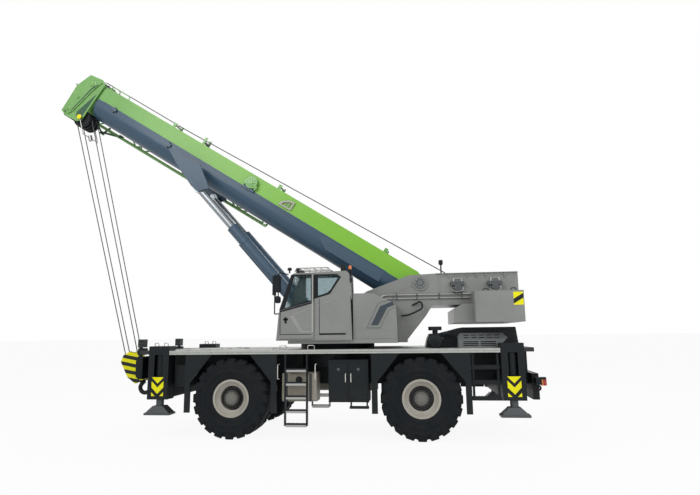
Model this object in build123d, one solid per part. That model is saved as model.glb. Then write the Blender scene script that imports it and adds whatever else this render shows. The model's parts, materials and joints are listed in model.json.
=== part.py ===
from build123d import *
import os
from math import cos, radians, sin

# Rough-terrain mobile crane, millimetres, +X to the rear, +Y to the right, +Z up.
# Driving dimensions

WHEELBASE = 4490
OVERALL_W = 3350
TYRE_D = 1875
TYRE_W = 750
RIM_D = 830
KINGPIN_IN = 320
AXLE_R = 150
FRAME_W = 860
FRAME_H = 790
PLATE = 20
DECK_T = 95
DECK_OVER_TYRE = 187
FRONT_OVERHANG = 2505
REAR_OVERHANG = 2605
JACK_FRONT = 1811
JACK_REAR = 2055
JACK_BOX_W = 512
JACK_BOX_DEPTH = 350
BEAM_W = 205
BEAM_H = 400
JACK_BORE_R = 92
FLOAT_W = 640
FLOAT_D = 350
SLEW_X = 100
SLEW_R = 970
RING_H = 128
TURN_PLATE = 78
SIDE_Y = 740
SIDE_T = 60
PIVOT_X = 2310
PIVOT_Z = 3655
BOOM_ANGLE = 32.7
BOOM_W = 760
BOOM_TOP = 260
BOOM_LOW = 715
BOOM_L = 10900
BOOM_WALL = 14
SECTION_STEP = 42
SECTION_START = 500
HEAD_S = 11150
HEAD_N = -930
SHEAVE_R = 260
LUFF_FOOT_X = -190
LUFF_FOOT_Z = 2450
LUFF_EYE_S = 6550
LUFF_EYE_N = -890
LUFF_Y = 550
LUFF_BARREL_R = 150
LUFF_ROD_R = 95
CAB_W = 830
CAB_WALL = 45
CAB_L = 1830
CAB_H = 1640
WEIGHT_W = 3100
WEIGHT_H = 720
COVER_X = 1740
COVER_Y = 1550
HOOD_W = 1700
HOOD_H = 480
HOOD_WALL = 12
HOOD_CLEAR = 40
ENGINE_L = 1050
ENGINE_W = 700
TANK_D = 475
LUGS = 20
LUG_H = 55
ROPE_SLANT = 15.5
ROPE_L = 7570
BLOCK_TILT = 12
BLOCK_R = 200
RUN_GAP = 6
PIN_GAP = 1
SLIDE_GAP = 0.2

# Derived places

AXLE_X = WHEELBASE / 2
HUB_Z = TYRE_D / 2
WHEEL_Y = OVERALL_W / 2 - TYRE_W / 2
KINGPIN_Y = WHEEL_Y - KINGPIN_IN
SIDE = OVERALL_W / 2
DECK_TOP = TYRE_D + DECK_OVER_TYRE
DECK_LOW = DECK_TOP - DECK_T
FRAME_LOW = DECK_LOW - FRAME_H
FRONT_X = -AXLE_X - FRONT_OVERHANG
REAR_X = AXLE_X + REAR_OVERHANG
JACK_X = {"f": -AXLE_X - JACK_FRONT, "r": AXLE_X + JACK_REAR}
BOX_IN = SIDE - JACK_BOX_DEPTH
JACK_Y = SIDE - JACK_BOX_DEPTH / 2
HOUSING_Y = BOX_IN - 30
HOUSING_W = 2 * BEAM_W + 4 * RUN_GAP + 3 * PLATE
HOUSING_H = BEAM_H + 2 * RUN_GAP + 2 * PLATE
HOUSING_LOW = FRAME_LOW - 230
BEAM_LOW = HOUSING_LOW + PLATE + SLIDE_GAP
BOX_LOW = HOUSING_LOW - 30
BOX_TOP = DECK_TOP + 112
RACE_TOP = DECK_TOP + RING_H
TURN_TOP = RACE_TOP + RUN_GAP + TURN_PLATE
SIDE_OUT = SIDE_Y + SIDE_T
SWING_R = ((COVER_X - SLEW_X) ** 2 + COVER_Y**2) ** 0.5
BOOM = Pos(PIVOT_X, 0, PIVOT_Z) * Rot(0, BOOM_ANGLE, 0)

parts = {}


def block(x0, x1, y0, y1, z0, z1):
    return Pos((x0 + x1) / 2, (y0 + y1) / 2, (z0 + z1) / 2) * Box(x1 - x0, y1 - y0, z1 - z0)


def side_plate(points, y0, y1):
    face = make_face(Polyline(*[(x, y0, z) for x, z in points], close=True))
    return extrude(face, amount=y1 - y0, dir=(0, 1, 0))


def end_plate(points, x0, x1):
    face = make_face(Polyline(*[(x0, y, z) for y, z in points], close=True))
    return extrude(face, amount=x1 - x0, dir=(1, 0, 0))


def inner_plate(points, y0, y1, wall):
    face = make_face(Polyline(*[(x, y0, z) for x, z in points], close=True))
    face = offset(face, amount=-wall, kind=Kind.INTERSECTION)
    return extrude(face, amount=y1 - y0, dir=(0, 1, 0))


def bar(start, end, radius):
    path = Vector(*end) - Vector(*start)
    plane = Plane(origin=start, z_dir=path)
    return extrude(plane * Circle(radius), amount=path.length)


def across(x, z, radius, y0, y1):
    return bar((x, y0, z), (x, y1, z), radius)


def upright(x, y, radius, z0, z1):
    return bar((x, y, z0), (x, y, z1), radius)


def mirrored(shape):
    return mirror(shape, about=Plane.XZ)


def both(shape):
    return [shape, mirrored(shape)]


def fuse(first, *others):
    whole = first
    for other in others:
        whole = whole + other
    return whole


def joined(shapes):
    return Compound(children=[solid for shape in shapes for solid in shape.solids()])


# Carrier frame with the outrigger housings, slew pedestal and bumpers

frame = block(FRONT_X, REAR_X, -FRAME_W / 2, FRAME_W / 2, FRAME_LOW, DECK_LOW)
frame_bore = block(
    FRONT_X + PLATE,
    REAR_X - PLATE,
    -FRAME_W / 2 + PLATE,
    FRAME_W / 2 - PLATE,
    FRAME_LOW + PLATE,
    DECK_LOW - PLATE,
)
channels = []
for end in ("f", "r"):
    x = JACK_X[end]
    frame = frame + block(
        x - HOUSING_W / 2, x + HOUSING_W / 2, -HOUSING_Y, HOUSING_Y, HOUSING_LOW, HOUSING_LOW + HOUSING_H
    )
    for shift in (-1, 1):
        mid = x + shift * (BEAM_W / 2 + RUN_GAP + PLATE / 2)
        channels.append(
            block(
                mid - BEAM_W / 2 - RUN_GAP,
                mid + BEAM_W / 2 + RUN_GAP,
                -HOUSING_Y - 1,
                HOUSING_Y + 1,
                HOUSING_LOW + PLATE,
                HOUSING_LOW + HOUSING_H - PLATE,
            )
        )
pedestal = upright(SLEW_X, 0, SLEW_R - 20, DECK_LOW - 350, DECK_TOP)
pedestal_bore = upright(SLEW_X, 0, SLEW_R - 80, DECK_LOW - 350 + PLATE, DECK_TOP + 1)
frame = frame + pedestal - frame_bore - pedestal_bore
for channel in channels:
    frame = frame - channel
BUMPER_X = FRONT_X - 180
BUMPER_Y = SIDE - 525
bumper_side = [
    (FRONT_X, DECK_LOW - 60),
    (BUMPER_X + 40, DECK_LOW - 60),
    (BUMPER_X, DECK_LOW - 140),
    (BUMPER_X, DECK_LOW - 540),
    (BUMPER_X + 70, DECK_LOW - 620),
    (FRONT_X, DECK_LOW - 620),
]
front_bumper = side_plate(bumper_side, -BUMPER_Y, BUMPER_Y)
REAR_END = REAR_X + 150
rear_bumper = block(REAR_X, REAR_END, -880, 880, HOUSING_LOW - 100, HOUSING_LOW + 500)
TANK_SET = 200
ARM_IN = SIDE - TANK_SET - TANK_D
arms = []
for x0, x1 in ((-900, -300), (250, 900)):
    arms += both(block(x0, x1, -ARM_IN, -FRAME_W / 2 + 1, FRAME_LOW + 60, FRAME_LOW + 160))
HOOD_X = SLEW_X + SWING_R + HOOD_CLEAR
HOOD_TOP = DECK_TOP + HOOD_H
HOOD_DROP = 132
HOOD_REAR = REAR_X - 240
ENGINE_END = JACK_X["r"] - HOUSING_W / 2 - 40
ENGINE_X = ENGINE_END - ENGINE_L
bay = block(
    ENGINE_X - 30,
    ENGINE_END + 30,
    -ENGINE_W / 2 - 30,
    ENGINE_W / 2 + 30,
    DECK_LOW - PLATE - 1,
    DECK_TOP + 1,
)
parts["carrier_frame"] = fuse(frame, front_bumper, rear_bumper, *arms) - bay
parts["engine"] = block(
    ENGINE_X, ENGINE_END, -ENGINE_W / 2, ENGINE_W / 2, FRAME_LOW + PLATE, HOOD_TOP - HOOD_DROP - HOOD_WALL - 30
)

# Deck plates, the middle one with holes for the slew pedestal and the engine

DECK_FRONT = JACK_X["f"] + JACK_BOX_W / 2 + 10
DECK_REAR = JACK_X["r"] - JACK_BOX_W / 2 - 10
INNER_Y = BOX_IN - 20
front_deck = block(FRONT_X, DECK_FRONT, -INNER_Y, INNER_Y, DECK_LOW, DECK_TOP)
rear_deck = block(DECK_REAR, REAR_X, -INNER_Y, INNER_Y, DECK_LOW, DECK_TOP)
middle_deck = block(DECK_FRONT, DECK_REAR, -SIDE, SIDE, DECK_LOW, DECK_TOP) - bay
middle_deck = middle_deck - upright(SLEW_X, 0, SLEW_R - 20, DECK_LOW - 1, DECK_TOP + 1)
parts["deck"] = joined([front_deck, middle_deck, rear_deck])

# Fenders, a side plate with an arched flange before and behind every wheel

FENDER_LOW = HUB_Z - 320
ARCH_IN = TYRE_D / 2 + 55
ARCH_OUT = ARCH_IN + 135
ARCH_Z = HUB_Z + 390
ARCH_TOP = TYRE_D / 2 - 470
FENDER_D = 50
web = [
    (ARCH_IN, FENDER_LOW),
    (ARCH_OUT, FENDER_LOW),
    (ARCH_OUT, DECK_LOW),
    (ARCH_TOP, DECK_LOW),
    (ARCH_IN, ARCH_Z),
]
lip = [
    (ARCH_IN, FENDER_LOW),
    (ARCH_IN + PLATE, FENDER_LOW),
    (ARCH_IN + PLATE, ARCH_Z + 8),
    (ARCH_TOP + 26, DECK_LOW),
    (ARCH_TOP, DECK_LOW),
    (ARCH_IN, ARCH_Z),
]
half = fuse(side_plate(web, -SIDE, -SIDE + PLATE), side_plate(lip, -SIDE, -SIDE + FENDER_D))
fenders = []
for axle in (-AXLE_X, AXLE_X):
    for shape in (half, mirror(half, about=Plane.YZ)):
        fenders += both(Pos(axle, 0, 0) * shape)
parts["fenders"] = joined(fenders)

# Engine hood, exhaust guard and air cleaner on the deck

hood_side = [
    (HOOD_X, DECK_TOP),
    (HOOD_X + 50, HOOD_TOP - HOOD_DROP - 140),
    (HOOD_X + 110, HOOD_TOP - HOOD_DROP - 10),
    (HOOD_X + 370, HOOD_TOP - HOOD_DROP),
    (HOOD_X + 905, HOOD_TOP),
    (HOOD_REAR - 60, HOOD_TOP),
    (HOOD_REAR, DECK_TOP),
]
hood = side_plate(hood_side, -HOOD_W / 2, HOOD_W / 2)
hood = fillet(hood.edges().filter_by(Axis.Y).sort_by(Axis.Z)[1:-2], 30)
HOOD_IN = HOOD_W / 2 - HOOD_WALL
hood = hood - inner_plate(hood_side, -HOOD_IN, HOOD_IN, HOOD_WALL)
hood = hood - block(
    HOOD_X + 2 * HOOD_WALL, HOOD_REAR - 2 * HOOD_WALL, -HOOD_IN, HOOD_IN, DECK_TOP - 1, DECK_TOP + 2 * HOOD_WALL
)
GRILLE_BARS = 6
GRILLE_PITCH = (HOOD_H - 120) / GRILLE_BARS
for row in range(GRILLE_BARS):
    z = DECK_TOP + 70 + row * GRILLE_PITCH
    hood = hood - block(
        HOOD_REAR - 120, HOOD_REAR + 1, -HOOD_IN + 150, HOOD_IN - 150, z, z + GRILLE_PITCH / 2
    )
parts["engine_hood"] = hood
GUARD_X = HOOD_X + 753
GUARD_WALL = 8
GUARD_OUT = -BOX_IN + 25
GUARD_IN = -HOOD_W / 2
guard_side = [
    (GUARD_X, DECK_TOP),
    (GUARD_X, DECK_TOP + 260),
    (GUARD_X + 60, DECK_TOP + 345),
    (GUARD_X + 1050, DECK_TOP + 345),
    (GUARD_X + 1120, DECK_TOP + 220),
    (GUARD_X + 900, DECK_TOP),
]
GUARD_SILL = DECK_TOP + 190
GUARD_TOP = DECK_TOP + 345
GUARD_RIDGE = GUARD_OUT + 200
guard_end = [
    (GUARD_OUT, DECK_TOP),
    (GUARD_OUT, GUARD_SILL),
    (GUARD_RIDGE, GUARD_TOP),
    (GUARD_IN, GUARD_TOP),
    (GUARD_IN, DECK_TOP),
]
guard_hollow = [
    (GUARD_OUT + GUARD_WALL, DECK_TOP + GUARD_WALL),
    (GUARD_OUT + GUARD_WALL, GUARD_SILL - GUARD_WALL / 2),
    (GUARD_RIDGE + GUARD_WALL / 2, GUARD_TOP - GUARD_WALL),
    (GUARD_IN + 1, GUARD_TOP - GUARD_WALL),
    (GUARD_IN + 1, DECK_TOP + GUARD_WALL),
]
guard = side_plate(guard_side, GUARD_OUT, GUARD_IN) & end_plate(guard_end, GUARD_X, GUARD_X + 1120)
guard_inside = inner_plate(guard_side, GUARD_OUT, GUARD_IN + 1, GUARD_WALL)
guard = guard - (guard_inside & end_plate(guard_hollow, GUARD_X, GUARD_X + 1120))
for row in range(3):
    z = DECK_TOP + 45 + row * 42
    for x in (GUARD_X + 110, GUARD_X + 510):
        guard = guard - block(x, x + 350, GUARD_OUT - 1, GUARD_OUT + GUARD_WALL + 1, z, z + 22)
GUARD_SLOTS = 5
for row in range(2):
    y = GUARD_OUT + 45 + row * 75
    for slot in range(GUARD_SLOTS):
        x = GUARD_X + 130 + slot * 175
        guard = guard - block(x, x + 125, y, y + 38, GUARD_SILL - GUARD_WALL, GUARD_TOP)
parts["exhaust_guard"] = guard
CLEANER_X = HOOD_X + 228
CLEANER_Z = DECK_TOP + 185
CLEANER_R = 155
CLEANER_Y = SIDE - 425
STACK_Y = -(CLEANER_Y + HOOD_W / 2) / 2
cleaner = fuse(
    across(CLEANER_X, CLEANER_Z, CLEANER_R, -CLEANER_Y, -HOOD_W / 2 - 30),
    across(CLEANER_X, CLEANER_Z, CLEANER_R - 40, -HOOD_W / 2 - 31, -HOOD_W / 2),
    upright(CLEANER_X, STACK_Y, 65, CLEANER_Z, CLEANER_Z + 265),
    upright(CLEANER_X, STACK_Y, 160, CLEANER_Z + 230, CLEANER_Z + 320),
    block(CLEANER_X - 90, CLEANER_X + 90, -CLEANER_Y + 50, -HOOD_W / 2 - 50, DECK_TOP, CLEANER_Z),
)
parts["air_cleaner"] = cleaner

# Tanks, tool cabinet, ladders

TANK_LOW = FRAME_LOW - 320
TANK_TOP = FRAME_LOW + 340
tank = block(-1030, -200, -SIDE + TANK_SET, -ARM_IN, TANK_LOW, TANK_TOP)
tank = fillet(tank.edges().filter_by(Axis.X), 60)
BOX_X0 = 110
BOX_X1 = 1040
BOX_FACE = SIDE - 110
BOX_ROOF = DECK_LOW - 145
battery = block(BOX_X0, BOX_X1, ARM_IN, BOX_FACE, TANK_LOW, BOX_ROOF)
parts["side_tanks"] = joined([tank, mirrored(tank), battery])
cabinet = block(BOX_X0, BOX_X1, -BOX_FACE, -ARM_IN, TANK_LOW, BOX_ROOF)
cabinet = cabinet - block(
    BOX_X0 + PLATE, BOX_X1 - PLATE, -BOX_FACE - 1, -ARM_IN - PLATE, TANK_LOW + PLATE, BOX_ROOF - PLATE
)
DOOR_T = 25
DOOR_Y = -BOX_FACE - RUN_GAP - DOOR_T
BOX_MID = (BOX_X0 + BOX_X1) / 2
LIP_T = 14
HINGE_IN = 10
HINGE_R = 6
DOOR_LOW = TANK_LOW + LIP_T + PIN_GAP
DOOR_HIGH = BOX_ROOF - LIP_T - PIN_GAP
for name, x0, x1, axis_x in (
    ("f", BOX_X0, BOX_MID - 3, BOX_X0 + HINGE_IN),
    ("r", BOX_MID + 3, BOX_X1, BOX_X1 - HINGE_IN),
):
    axis_y = DOOR_Y + DOOR_T / 2
    door = block(x0, x1, DOOR_Y, DOOR_Y + DOOR_T, DOOR_LOW, DOOR_HIGH)
    for z0, z1, way in ((TANK_LOW, DOOR_LOW, 1), (BOX_ROOF, DOOR_HIGH, -1)):
        lip_z = z0 + way * LIP_T
        pin_z = z1 + way * 40
        cabinet = cabinet + block(
            axis_x - 20, axis_x + 20, DOOR_Y, -BOX_FACE + 5, min(z0, lip_z), max(z0, lip_z)
        )
        cabinet = cabinet + upright(axis_x, axis_y, HINGE_R, min(z0, pin_z), max(z0, pin_z))
        door = door - upright(axis_x, axis_y, HINGE_R + PIN_GAP, min(z0, pin_z) - 1, max(z0, pin_z) + 1)
    parts["cabinet_door_" + name] = door
parts["tool_cabinet"] = cabinet

STEP_PITCH = 310
LADDER_LOW = 339
rails = []
for x in (-930, -414):
    rails.append(block(x, x + 40, -SIDE + 5, -SIDE + 75, LADDER_LOW, DECK_LOW))
rungs = []
for step in range(5):
    z = LADDER_LOW + 20 + step * STEP_PITCH
    rungs.append(block(-930, -374, -SIDE + 10, -SIDE + 70, z, z + 35))
ladder = fuse(rails[0], rails[1], *rungs)
parts["ladders"] = joined(both(ladder))

# Lamps and tow eyes

LAMP_X = BUMPER_X + 90
front_lamp = fuse(
    block(LAMP_X - 30, LAMP_X + 30, -1130, -1070, DECK_LOW - 60, DECK_TOP + 80),
    block(LAMP_X - 60, LAMP_X + 90, -1150, -950, DECK_TOP + 75, DECK_TOP + 280),
)
TAIL_Z = HOUSING_LOW + 260
tail_lamp = fuse(
    block(REAR_X + 40, REAR_X + 100, -1000, -880, TAIL_Z + 60, TAIL_Z + 120),
    block(REAR_X + 30, REAR_X + 260, -1150, -1000, TAIL_Z, TAIL_Z + 170),
)
parts["lamps"] = joined(both(front_lamp) + both(tail_lamp))
EYE_R = 75
EYE_BORE = 35
eyes = []
for x, way, z in ((BUMPER_X, -1, DECK_LOW - 480), (REAR_END, 1, HOUSING_LOW + 120)):
    tip = x + way * (EYE_R + 5)
    eye = fuse(
        across(tip, z, EYE_R, -420, -380),
        block(min(x, tip), max(x, tip), -420, -380, z - EYE_R, z + EYE_R),
    )
    eyes += both(eye - across(tip, z, EYE_BORE, -430, -370))
parts["tow_eyes"] = joined(eyes)

# Slew ring

ring = upright(SLEW_X, 0, SLEW_R, DECK_TOP, RACE_TOP)
parts["slew_ring"] = ring - upright(SLEW_X, 0, SLEW_R - 160, DECK_TOP - 1, RACE_TOP + 1)

# Axles, knuckles, rims and tyres

PIN_R = 45
BOSS_R = 110
BOSS_H = 160
HUB_R = 120
FLANGE_IN = BOSS_R + 20
FLANGE_T = 60
axle = across(0, HUB_Z, AXLE_R, -KINGPIN_Y, KINGPIN_Y)
axle = axle + across(0, HUB_Z, AXLE_R + 50, -280, 280)
for pad in both(block(-120, 120, -420, -310, HUB_Z, FRAME_LOW)):
    axle = axle + pad
for post in both(upright(0, -KINGPIN_Y, BOSS_R, HUB_Z - BOSS_H, HUB_Z + BOSS_H)):
    axle = axle + post
for hole in both(upright(0, -KINGPIN_Y, PIN_R + PIN_GAP, HUB_Z - 300, HUB_Z + 300)):
    axle = axle - hole
parts["front_axle"] = Pos(-AXLE_X, 0, 0) * axle
parts["rear_axle"] = Pos(AXLE_X, 0, 0) * axle

ARM_T = 60
ARM_LOW = HUB_Z + BOSS_H + RUN_GAP
FLANGE_Y = -KINGPIN_Y - FLANGE_IN
knuckle = across(0, HUB_Z, ARM_LOW - HUB_Z + ARM_T, FLANGE_Y - FLANGE_T, FLANGE_Y)
knuckle = knuckle + across(0, HUB_Z, HUB_R, -WHEEL_Y - 190, FLANGE_Y)
for z in (ARM_LOW, 2 * HUB_Z - ARM_LOW - ARM_T):
    knuckle = knuckle + upright(0, -KINGPIN_Y, BOSS_R, z, z + ARM_T)
    knuckle = knuckle + block(-BOSS_R, BOSS_R, FLANGE_Y - 10, -KINGPIN_Y, z, z + ARM_T)
knuckle = knuckle + upright(0, -KINGPIN_Y, PIN_R, 2 * HUB_Z - ARM_LOW - ARM_T, ARM_LOW + ARM_T)

RIM_R = RIM_D / 2
RIM_IN = RIM_R - 25
LIP_R = RIM_R + 25
HUB_FACE = 262
RING_IN = RIM_IN - 105
RING_T = 30
rim_edge = [
    (0, -HUB_FACE),
    (150, -HUB_FACE),
    (185, -HUB_FACE + 20),
    (195, -95),
    (RING_IN, -95),
    (RING_IN, -205),
    (RIM_IN, -270),
    (RIM_IN, -300),
    (LIP_R, -300),
    (LIP_R, -285),
    (RIM_R, -285),
    (RIM_R, 285),
    (LIP_R, 285),
    (LIP_R, 300),
    (RIM_IN, 300),
    (RIM_IN, -270 + 1.2 * RING_T),
    (RING_IN + RING_T, -205 + 1.2 * RING_T),
    (RING_IN + RING_T, -95 + RING_T),
    (HUB_R + PIN_GAP, -95 + RING_T),
    (HUB_R + PIN_GAP, -200),
    (0, -200),
]
rim = revolve(make_face(Polyline(*[(r, y, 0) for r, y in rim_edge], close=True)), axis=Axis.Y)
TYRE_R = TYRE_D / 2
HALF_W = TYRE_W / 2
CARCASS_R = TYRE_R - LUG_H
tyre_side = [
    (RIM_R, -284),
    (LIP_R + 5, -284),
    (LIP_R + 6, -305),
    (CARCASS_R - 260, -HALF_W),
    (CARCASS_R - 110, -HALF_W + 12),
    (CARCASS_R, -HALF_W + 75),
]
tyre_edge = tyre_side + [(r, -y) for r, y in reversed(tyre_side)]
tyre = revolve(make_face(Polyline(*[(r, y, 0) for r, y in tyre_edge], close=True)), axis=Axis.Y)
LUG_W = 150
LUG_TOP = (TYRE_R**2 - (LUG_W / 2) ** 2) ** 0.5
LUG_SKEW = 90
lug_foot = [
    (-LUG_W / 2, -HALF_W + 15),
    (LUG_W / 2, -HALF_W + 15),
    (LUG_W / 2 - LUG_SKEW / 2, -HALF_W / 2),
    (LUG_W / 2 - LUG_SKEW / 2, -25),
    (-LUG_W / 2, -25),
    (-LUG_W / 2, -HALF_W / 2),
]
lug_face = make_face(Polyline(*[(x, y, CARCASS_R - 100) for x, y in lug_foot], close=True))
lug = extrude(lug_face, amount=LUG_TOP - CARCASS_R + 100, dir=(0, 0, 1))
lugs = []
for number in range(LUGS):
    turn = 360 / LUGS * number
    lugs.append(Rot(0, turn, 0) * lug)
    lugs.append(Rot(0, turn + 180 / LUGS, 0) * Rot(0, 0, 180) * lug)
tyre = tyre + lugs
for end, x in (("f", -AXLE_X), ("r", AXLE_X)):
    hub = Pos(x, -WHEEL_Y, HUB_Z)
    for side in ("l", "r"):
        turn = (lambda shape: shape) if side == "l" else mirrored
        parts["knuckle_" + end + side] = turn(Pos(x, 0, 0) * knuckle)
        parts["rim_" + end + side] = turn(hub * rim)
        parts["tyre_" + end + side] = turn(hub * tyre)

# Outrigger beams with jack boxes, and the jacks

JACK_R = JACK_BORE_R + 35
JACK_ROD_R = JACK_BORE_R - PIN_GAP
FLOAT_LOW = HUB_Z - 385
BEAM_END = HOUSING_Y - 40
for end in ("f", "r"):
    x = JACK_X[end]
    case = block(x - JACK_BOX_W / 2, x + JACK_BOX_W / 2, -SIDE, -BOX_IN, BOX_LOW, BOX_TOP)
    case = case - block(
        x - JACK_BOX_W / 2 + PLATE, x + JACK_BOX_W / 2 - PLATE, -SIDE + PLATE, -BOX_IN - PLATE,
        BOX_LOW - 1, BOX_TOP - PLATE,
    )
    case = case - block(x - 105, x + 105, -SIDE - 1, -SIDE + PLATE + 1, DECK_LOW - 520, DECK_LOW)
    jack_tube = upright(x, -JACK_Y, JACK_R, BOX_LOW + 40, BOX_TOP - PLATE)
    jack_tube = jack_tube + block(
        x - JACK_BOX_W / 2 + PLATE, x + JACK_BOX_W / 2 - PLATE, -SIDE + PLATE, -BOX_IN - PLATE,
        BOX_LOW + 40, BOX_LOW + 70,
    )
    case = case + jack_tube - upright(x, -JACK_Y, JACK_BORE_R, BOX_LOW - 1, BOX_TOP - 60)
    rod = upright(x, -JACK_Y, JACK_ROD_R, FLOAT_LOW + 100, BOX_TOP - 90)
    pad = Pos(x, -JACK_Y, FLOAT_LOW) * extrude(Rectangle(FLOAT_W, FLOAT_D), amount=50)
    cone = loft(
        [
            Pos(x, -JACK_Y, FLOAT_LOW + 50) * Rectangle(FLOAT_W - 40, FLOAT_D - 40),
            Pos(x, -JACK_Y, FLOAT_LOW + 210) * Rectangle(2 * JACK_R, 2 * JACK_R),
        ]
    )
    jack = fuse(pad, cone, rod)
    for side, shift in (("l", -1), ("r", 1)):
        mid = x + shift * (BEAM_W / 2 + RUN_GAP + PLATE / 2)
        beam = case + block(
            mid - BEAM_W / 2, mid + BEAM_W / 2, -BOX_IN - 5, BEAM_END, BEAM_LOW, BEAM_LOW + BEAM_H
        )
        turn = (lambda shape: shape) if side == "l" else mirrored
        parts["outrigger_" + end + side] = turn(beam)
        parts["jack_" + end + side] = turn(jack)

# Turntable frame with the boom pivot

TURN_LOW = RACE_TOP + RUN_GAP
FRAME_TOP = PIVOT_Z + 230
REAR_LOW = PIVOT_Z - 560
TURN_REAR = PIVOT_X + 2380
PIVOT_R = 90
base = block(-880, COVER_X, -COVER_Y, COVER_Y, TURN_LOW, TURN_TOP)
base = base + block(COVER_X - 1, PIVOT_X - 360, -SIDE_OUT, SIDE_OUT, TURN_LOW, TURN_TOP)
cheek = [
    (-560, TURN_TOP - 10),
    (PIVOT_X - 360, TURN_TOP - 10),
    (PIVOT_X + 160, PIVOT_Z - 755),
    (PIVOT_X + 285, REAR_LOW),
    (TURN_REAR, REAR_LOW),
    (TURN_REAR, FRAME_TOP),
    (PIVOT_X + 400, FRAME_TOP),
    (PIVOT_X - 270, FRAME_TOP - 30),
    (PIVOT_X - 1340, PIVOT_Z - 180),
    (-150, LUFF_FOOT_Z + 330),
    (-560, LUFF_FOOT_Z + 150),
]
cheek_plate = side_plate(cheek, -SIDE_OUT, -SIDE_Y)
BOSS_IN = BOOM_W / 2 + RUN_GAP
boss = across(PIVOT_X, PIVOT_Z, 190, -SIDE_OUT - 40, -BOSS_IN)
FOOT_IN = LUFF_Y - 75 - RUN_GAP
foot_lug = block(LUFF_FOOT_X - 110, LUFF_FOOT_X + 110, -FOOT_IN, -FOOT_IN + 60, TURN_TOP - 10, LUFF_FOOT_Z + 90)
foot_pin = across(LUFF_FOOT_X, LUFF_FOOT_Z, 60, -SIDE_Y - 10, -FOOT_IN + 30)
rear_floor = block(PIVOT_X + 285, TURN_REAR, -SIDE_Y, SIDE_Y, REAR_LOW, REAR_LOW + 40)
rear_wall = block(TURN_REAR - 40, TURN_REAR, -SIDE_Y, SIDE_Y, REAR_LOW, FRAME_TOP)
race = upright(SLEW_X, 0, SLEW_R - 160 - PIN_GAP, DECK_TOP + 20, TURN_LOW + 1)
race = race - upright(SLEW_X, 0, SLEW_R - 300, DECK_TOP, TURN_LOW)
FLANGE_W = 140
flange = block(
    PIVOT_X + 400, TURN_REAR, -SIDE_OUT - 35, -SIDE_OUT - 35 + FLANGE_W, FRAME_TOP - PLATE, FRAME_TOP
)
turn = fuse(base, race, rear_floor, rear_wall)
for shape in (cheek_plate, boss, foot_lug, foot_pin, flange):
    turn = turn + shape + mirrored(shape)
turn = turn + across(PIVOT_X, PIVOT_Z, PIVOT_R, -SIDE_Y, SIDE_Y)
parts["turntable_frame"] = turn

# Counterweight and winches

WEIGHT_LOW = REAR_LOW - 445
WEIGHT_X = PIVOT_X + 1220
WEIGHT_END = TURN_REAR - 20
WEIGHT_TOP = WEIGHT_LOW + WEIGHT_H
weight = block(WEIGHT_X, WEIGHT_END, -WEIGHT_W / 2, WEIGHT_W / 2, WEIGHT_LOW, WEIGHT_TOP)
weight = fillet(weight.edges().filter_by(Axis.Z), 70)
weight = weight - block(WEIGHT_X - 1, WEIGHT_END + 1, -SIDE_OUT, SIDE_OUT, REAR_LOW, WEIGHT_TOP + 1)
nose = [
    (WEIGHT_X + 1, WEIGHT_LOW),
    (WEIGHT_X + 1, REAR_LOW),
    (WEIGHT_X - 230, REAR_LOW),
    (WEIGHT_X - 450, REAR_LOW - 110),
    (WEIGHT_X - 450, WEIGHT_LOW),
]
NOSE_Y = WEIGHT_W / 2 - 350
weight = weight + side_plate(nose, -NOSE_Y, NOSE_Y)
parts["counterweight"] = weight
winches = []
DRUM_R = 220
RIM_DRUM_R = 320
DRUM_Y = SIDE_Y - 140
WINCH_Z = REAR_LOW + 385
for x in (PIVOT_X + 920, PIVOT_X + 1820):
    drum = across(x, WINCH_Z, DRUM_R, -DRUM_Y, DRUM_Y)
    for shape in (
        across(x, WINCH_Z, RIM_DRUM_R, -DRUM_Y, -DRUM_Y + 45),
        across(x, WINCH_Z, DRUM_R - 70, -SIDE_Y, -DRUM_Y + 1),
    ):
        drum = drum + shape + mirrored(shape)
    winches.append(drum)
parts["winches"] = joined(winches)

# Covers beside the turntable

cover = [
    (CAB_L - 1130, TURN_TOP),
    (CAB_L - 1130, TURN_TOP + 1095),
    (COVER_X - 563, TURN_TOP + 1095),
    (COVER_X - 20, TURN_TOP + 830),
    (COVER_X, TURN_TOP),
]
far_cover = [(-860, TURN_TOP), (-860, TURN_TOP + 850), (-560, TURN_TOP + 1095)] + cover[2:]
COVER_WALL = 12
covers = []
for points, way in ((cover, 1), (far_cover, -1)):
    shape = side_plate(points, -COVER_Y, -SIDE_OUT)
    shape = shape - inner_plate(points, -COVER_Y + COVER_WALL, -SIDE_OUT + 1, COVER_WALL)
    covers.append(shape if way > 0 else mirrored(shape))
parts["side_covers"] = joined(covers)

# Cab shell, glass, sliding door, seat and fittings

CAB_IN = SIDE_OUT + 10
CAB_OUT = CAB_IN + CAB_W - 10
CAB_FRONT = -1150
CAB_REAR = CAB_FRONT + CAB_L
CAB_TOP = TURN_TOP + CAB_H
CAB_ROUND = 60
cab_side = [
    (CAB_FRONT, TURN_TOP),
    (CAB_FRONT + 60, TURN_TOP + 660),
    (CAB_FRONT + 405, CAB_TOP - 30),
    (CAB_REAR - 120, CAB_TOP),
    (CAB_REAR - 55, CAB_TOP - 70),
    (CAB_REAR, TURN_TOP),
]


def cab_slab(inset):
    face = make_face(Polyline(*[(x, -CAB_OUT + inset, z) for x, z in cab_side], close=True))
    face = fillet([corner for corner in face.vertices() if corner.Z > TURN_TOP + 1], CAB_ROUND)
    if inset:
        face = offset(face, amount=-inset, kind=Kind.INTERSECTION)
    return extrude(face, amount=CAB_OUT - CAB_IN - 2 * inset, dir=(0, 1, 0))


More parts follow.
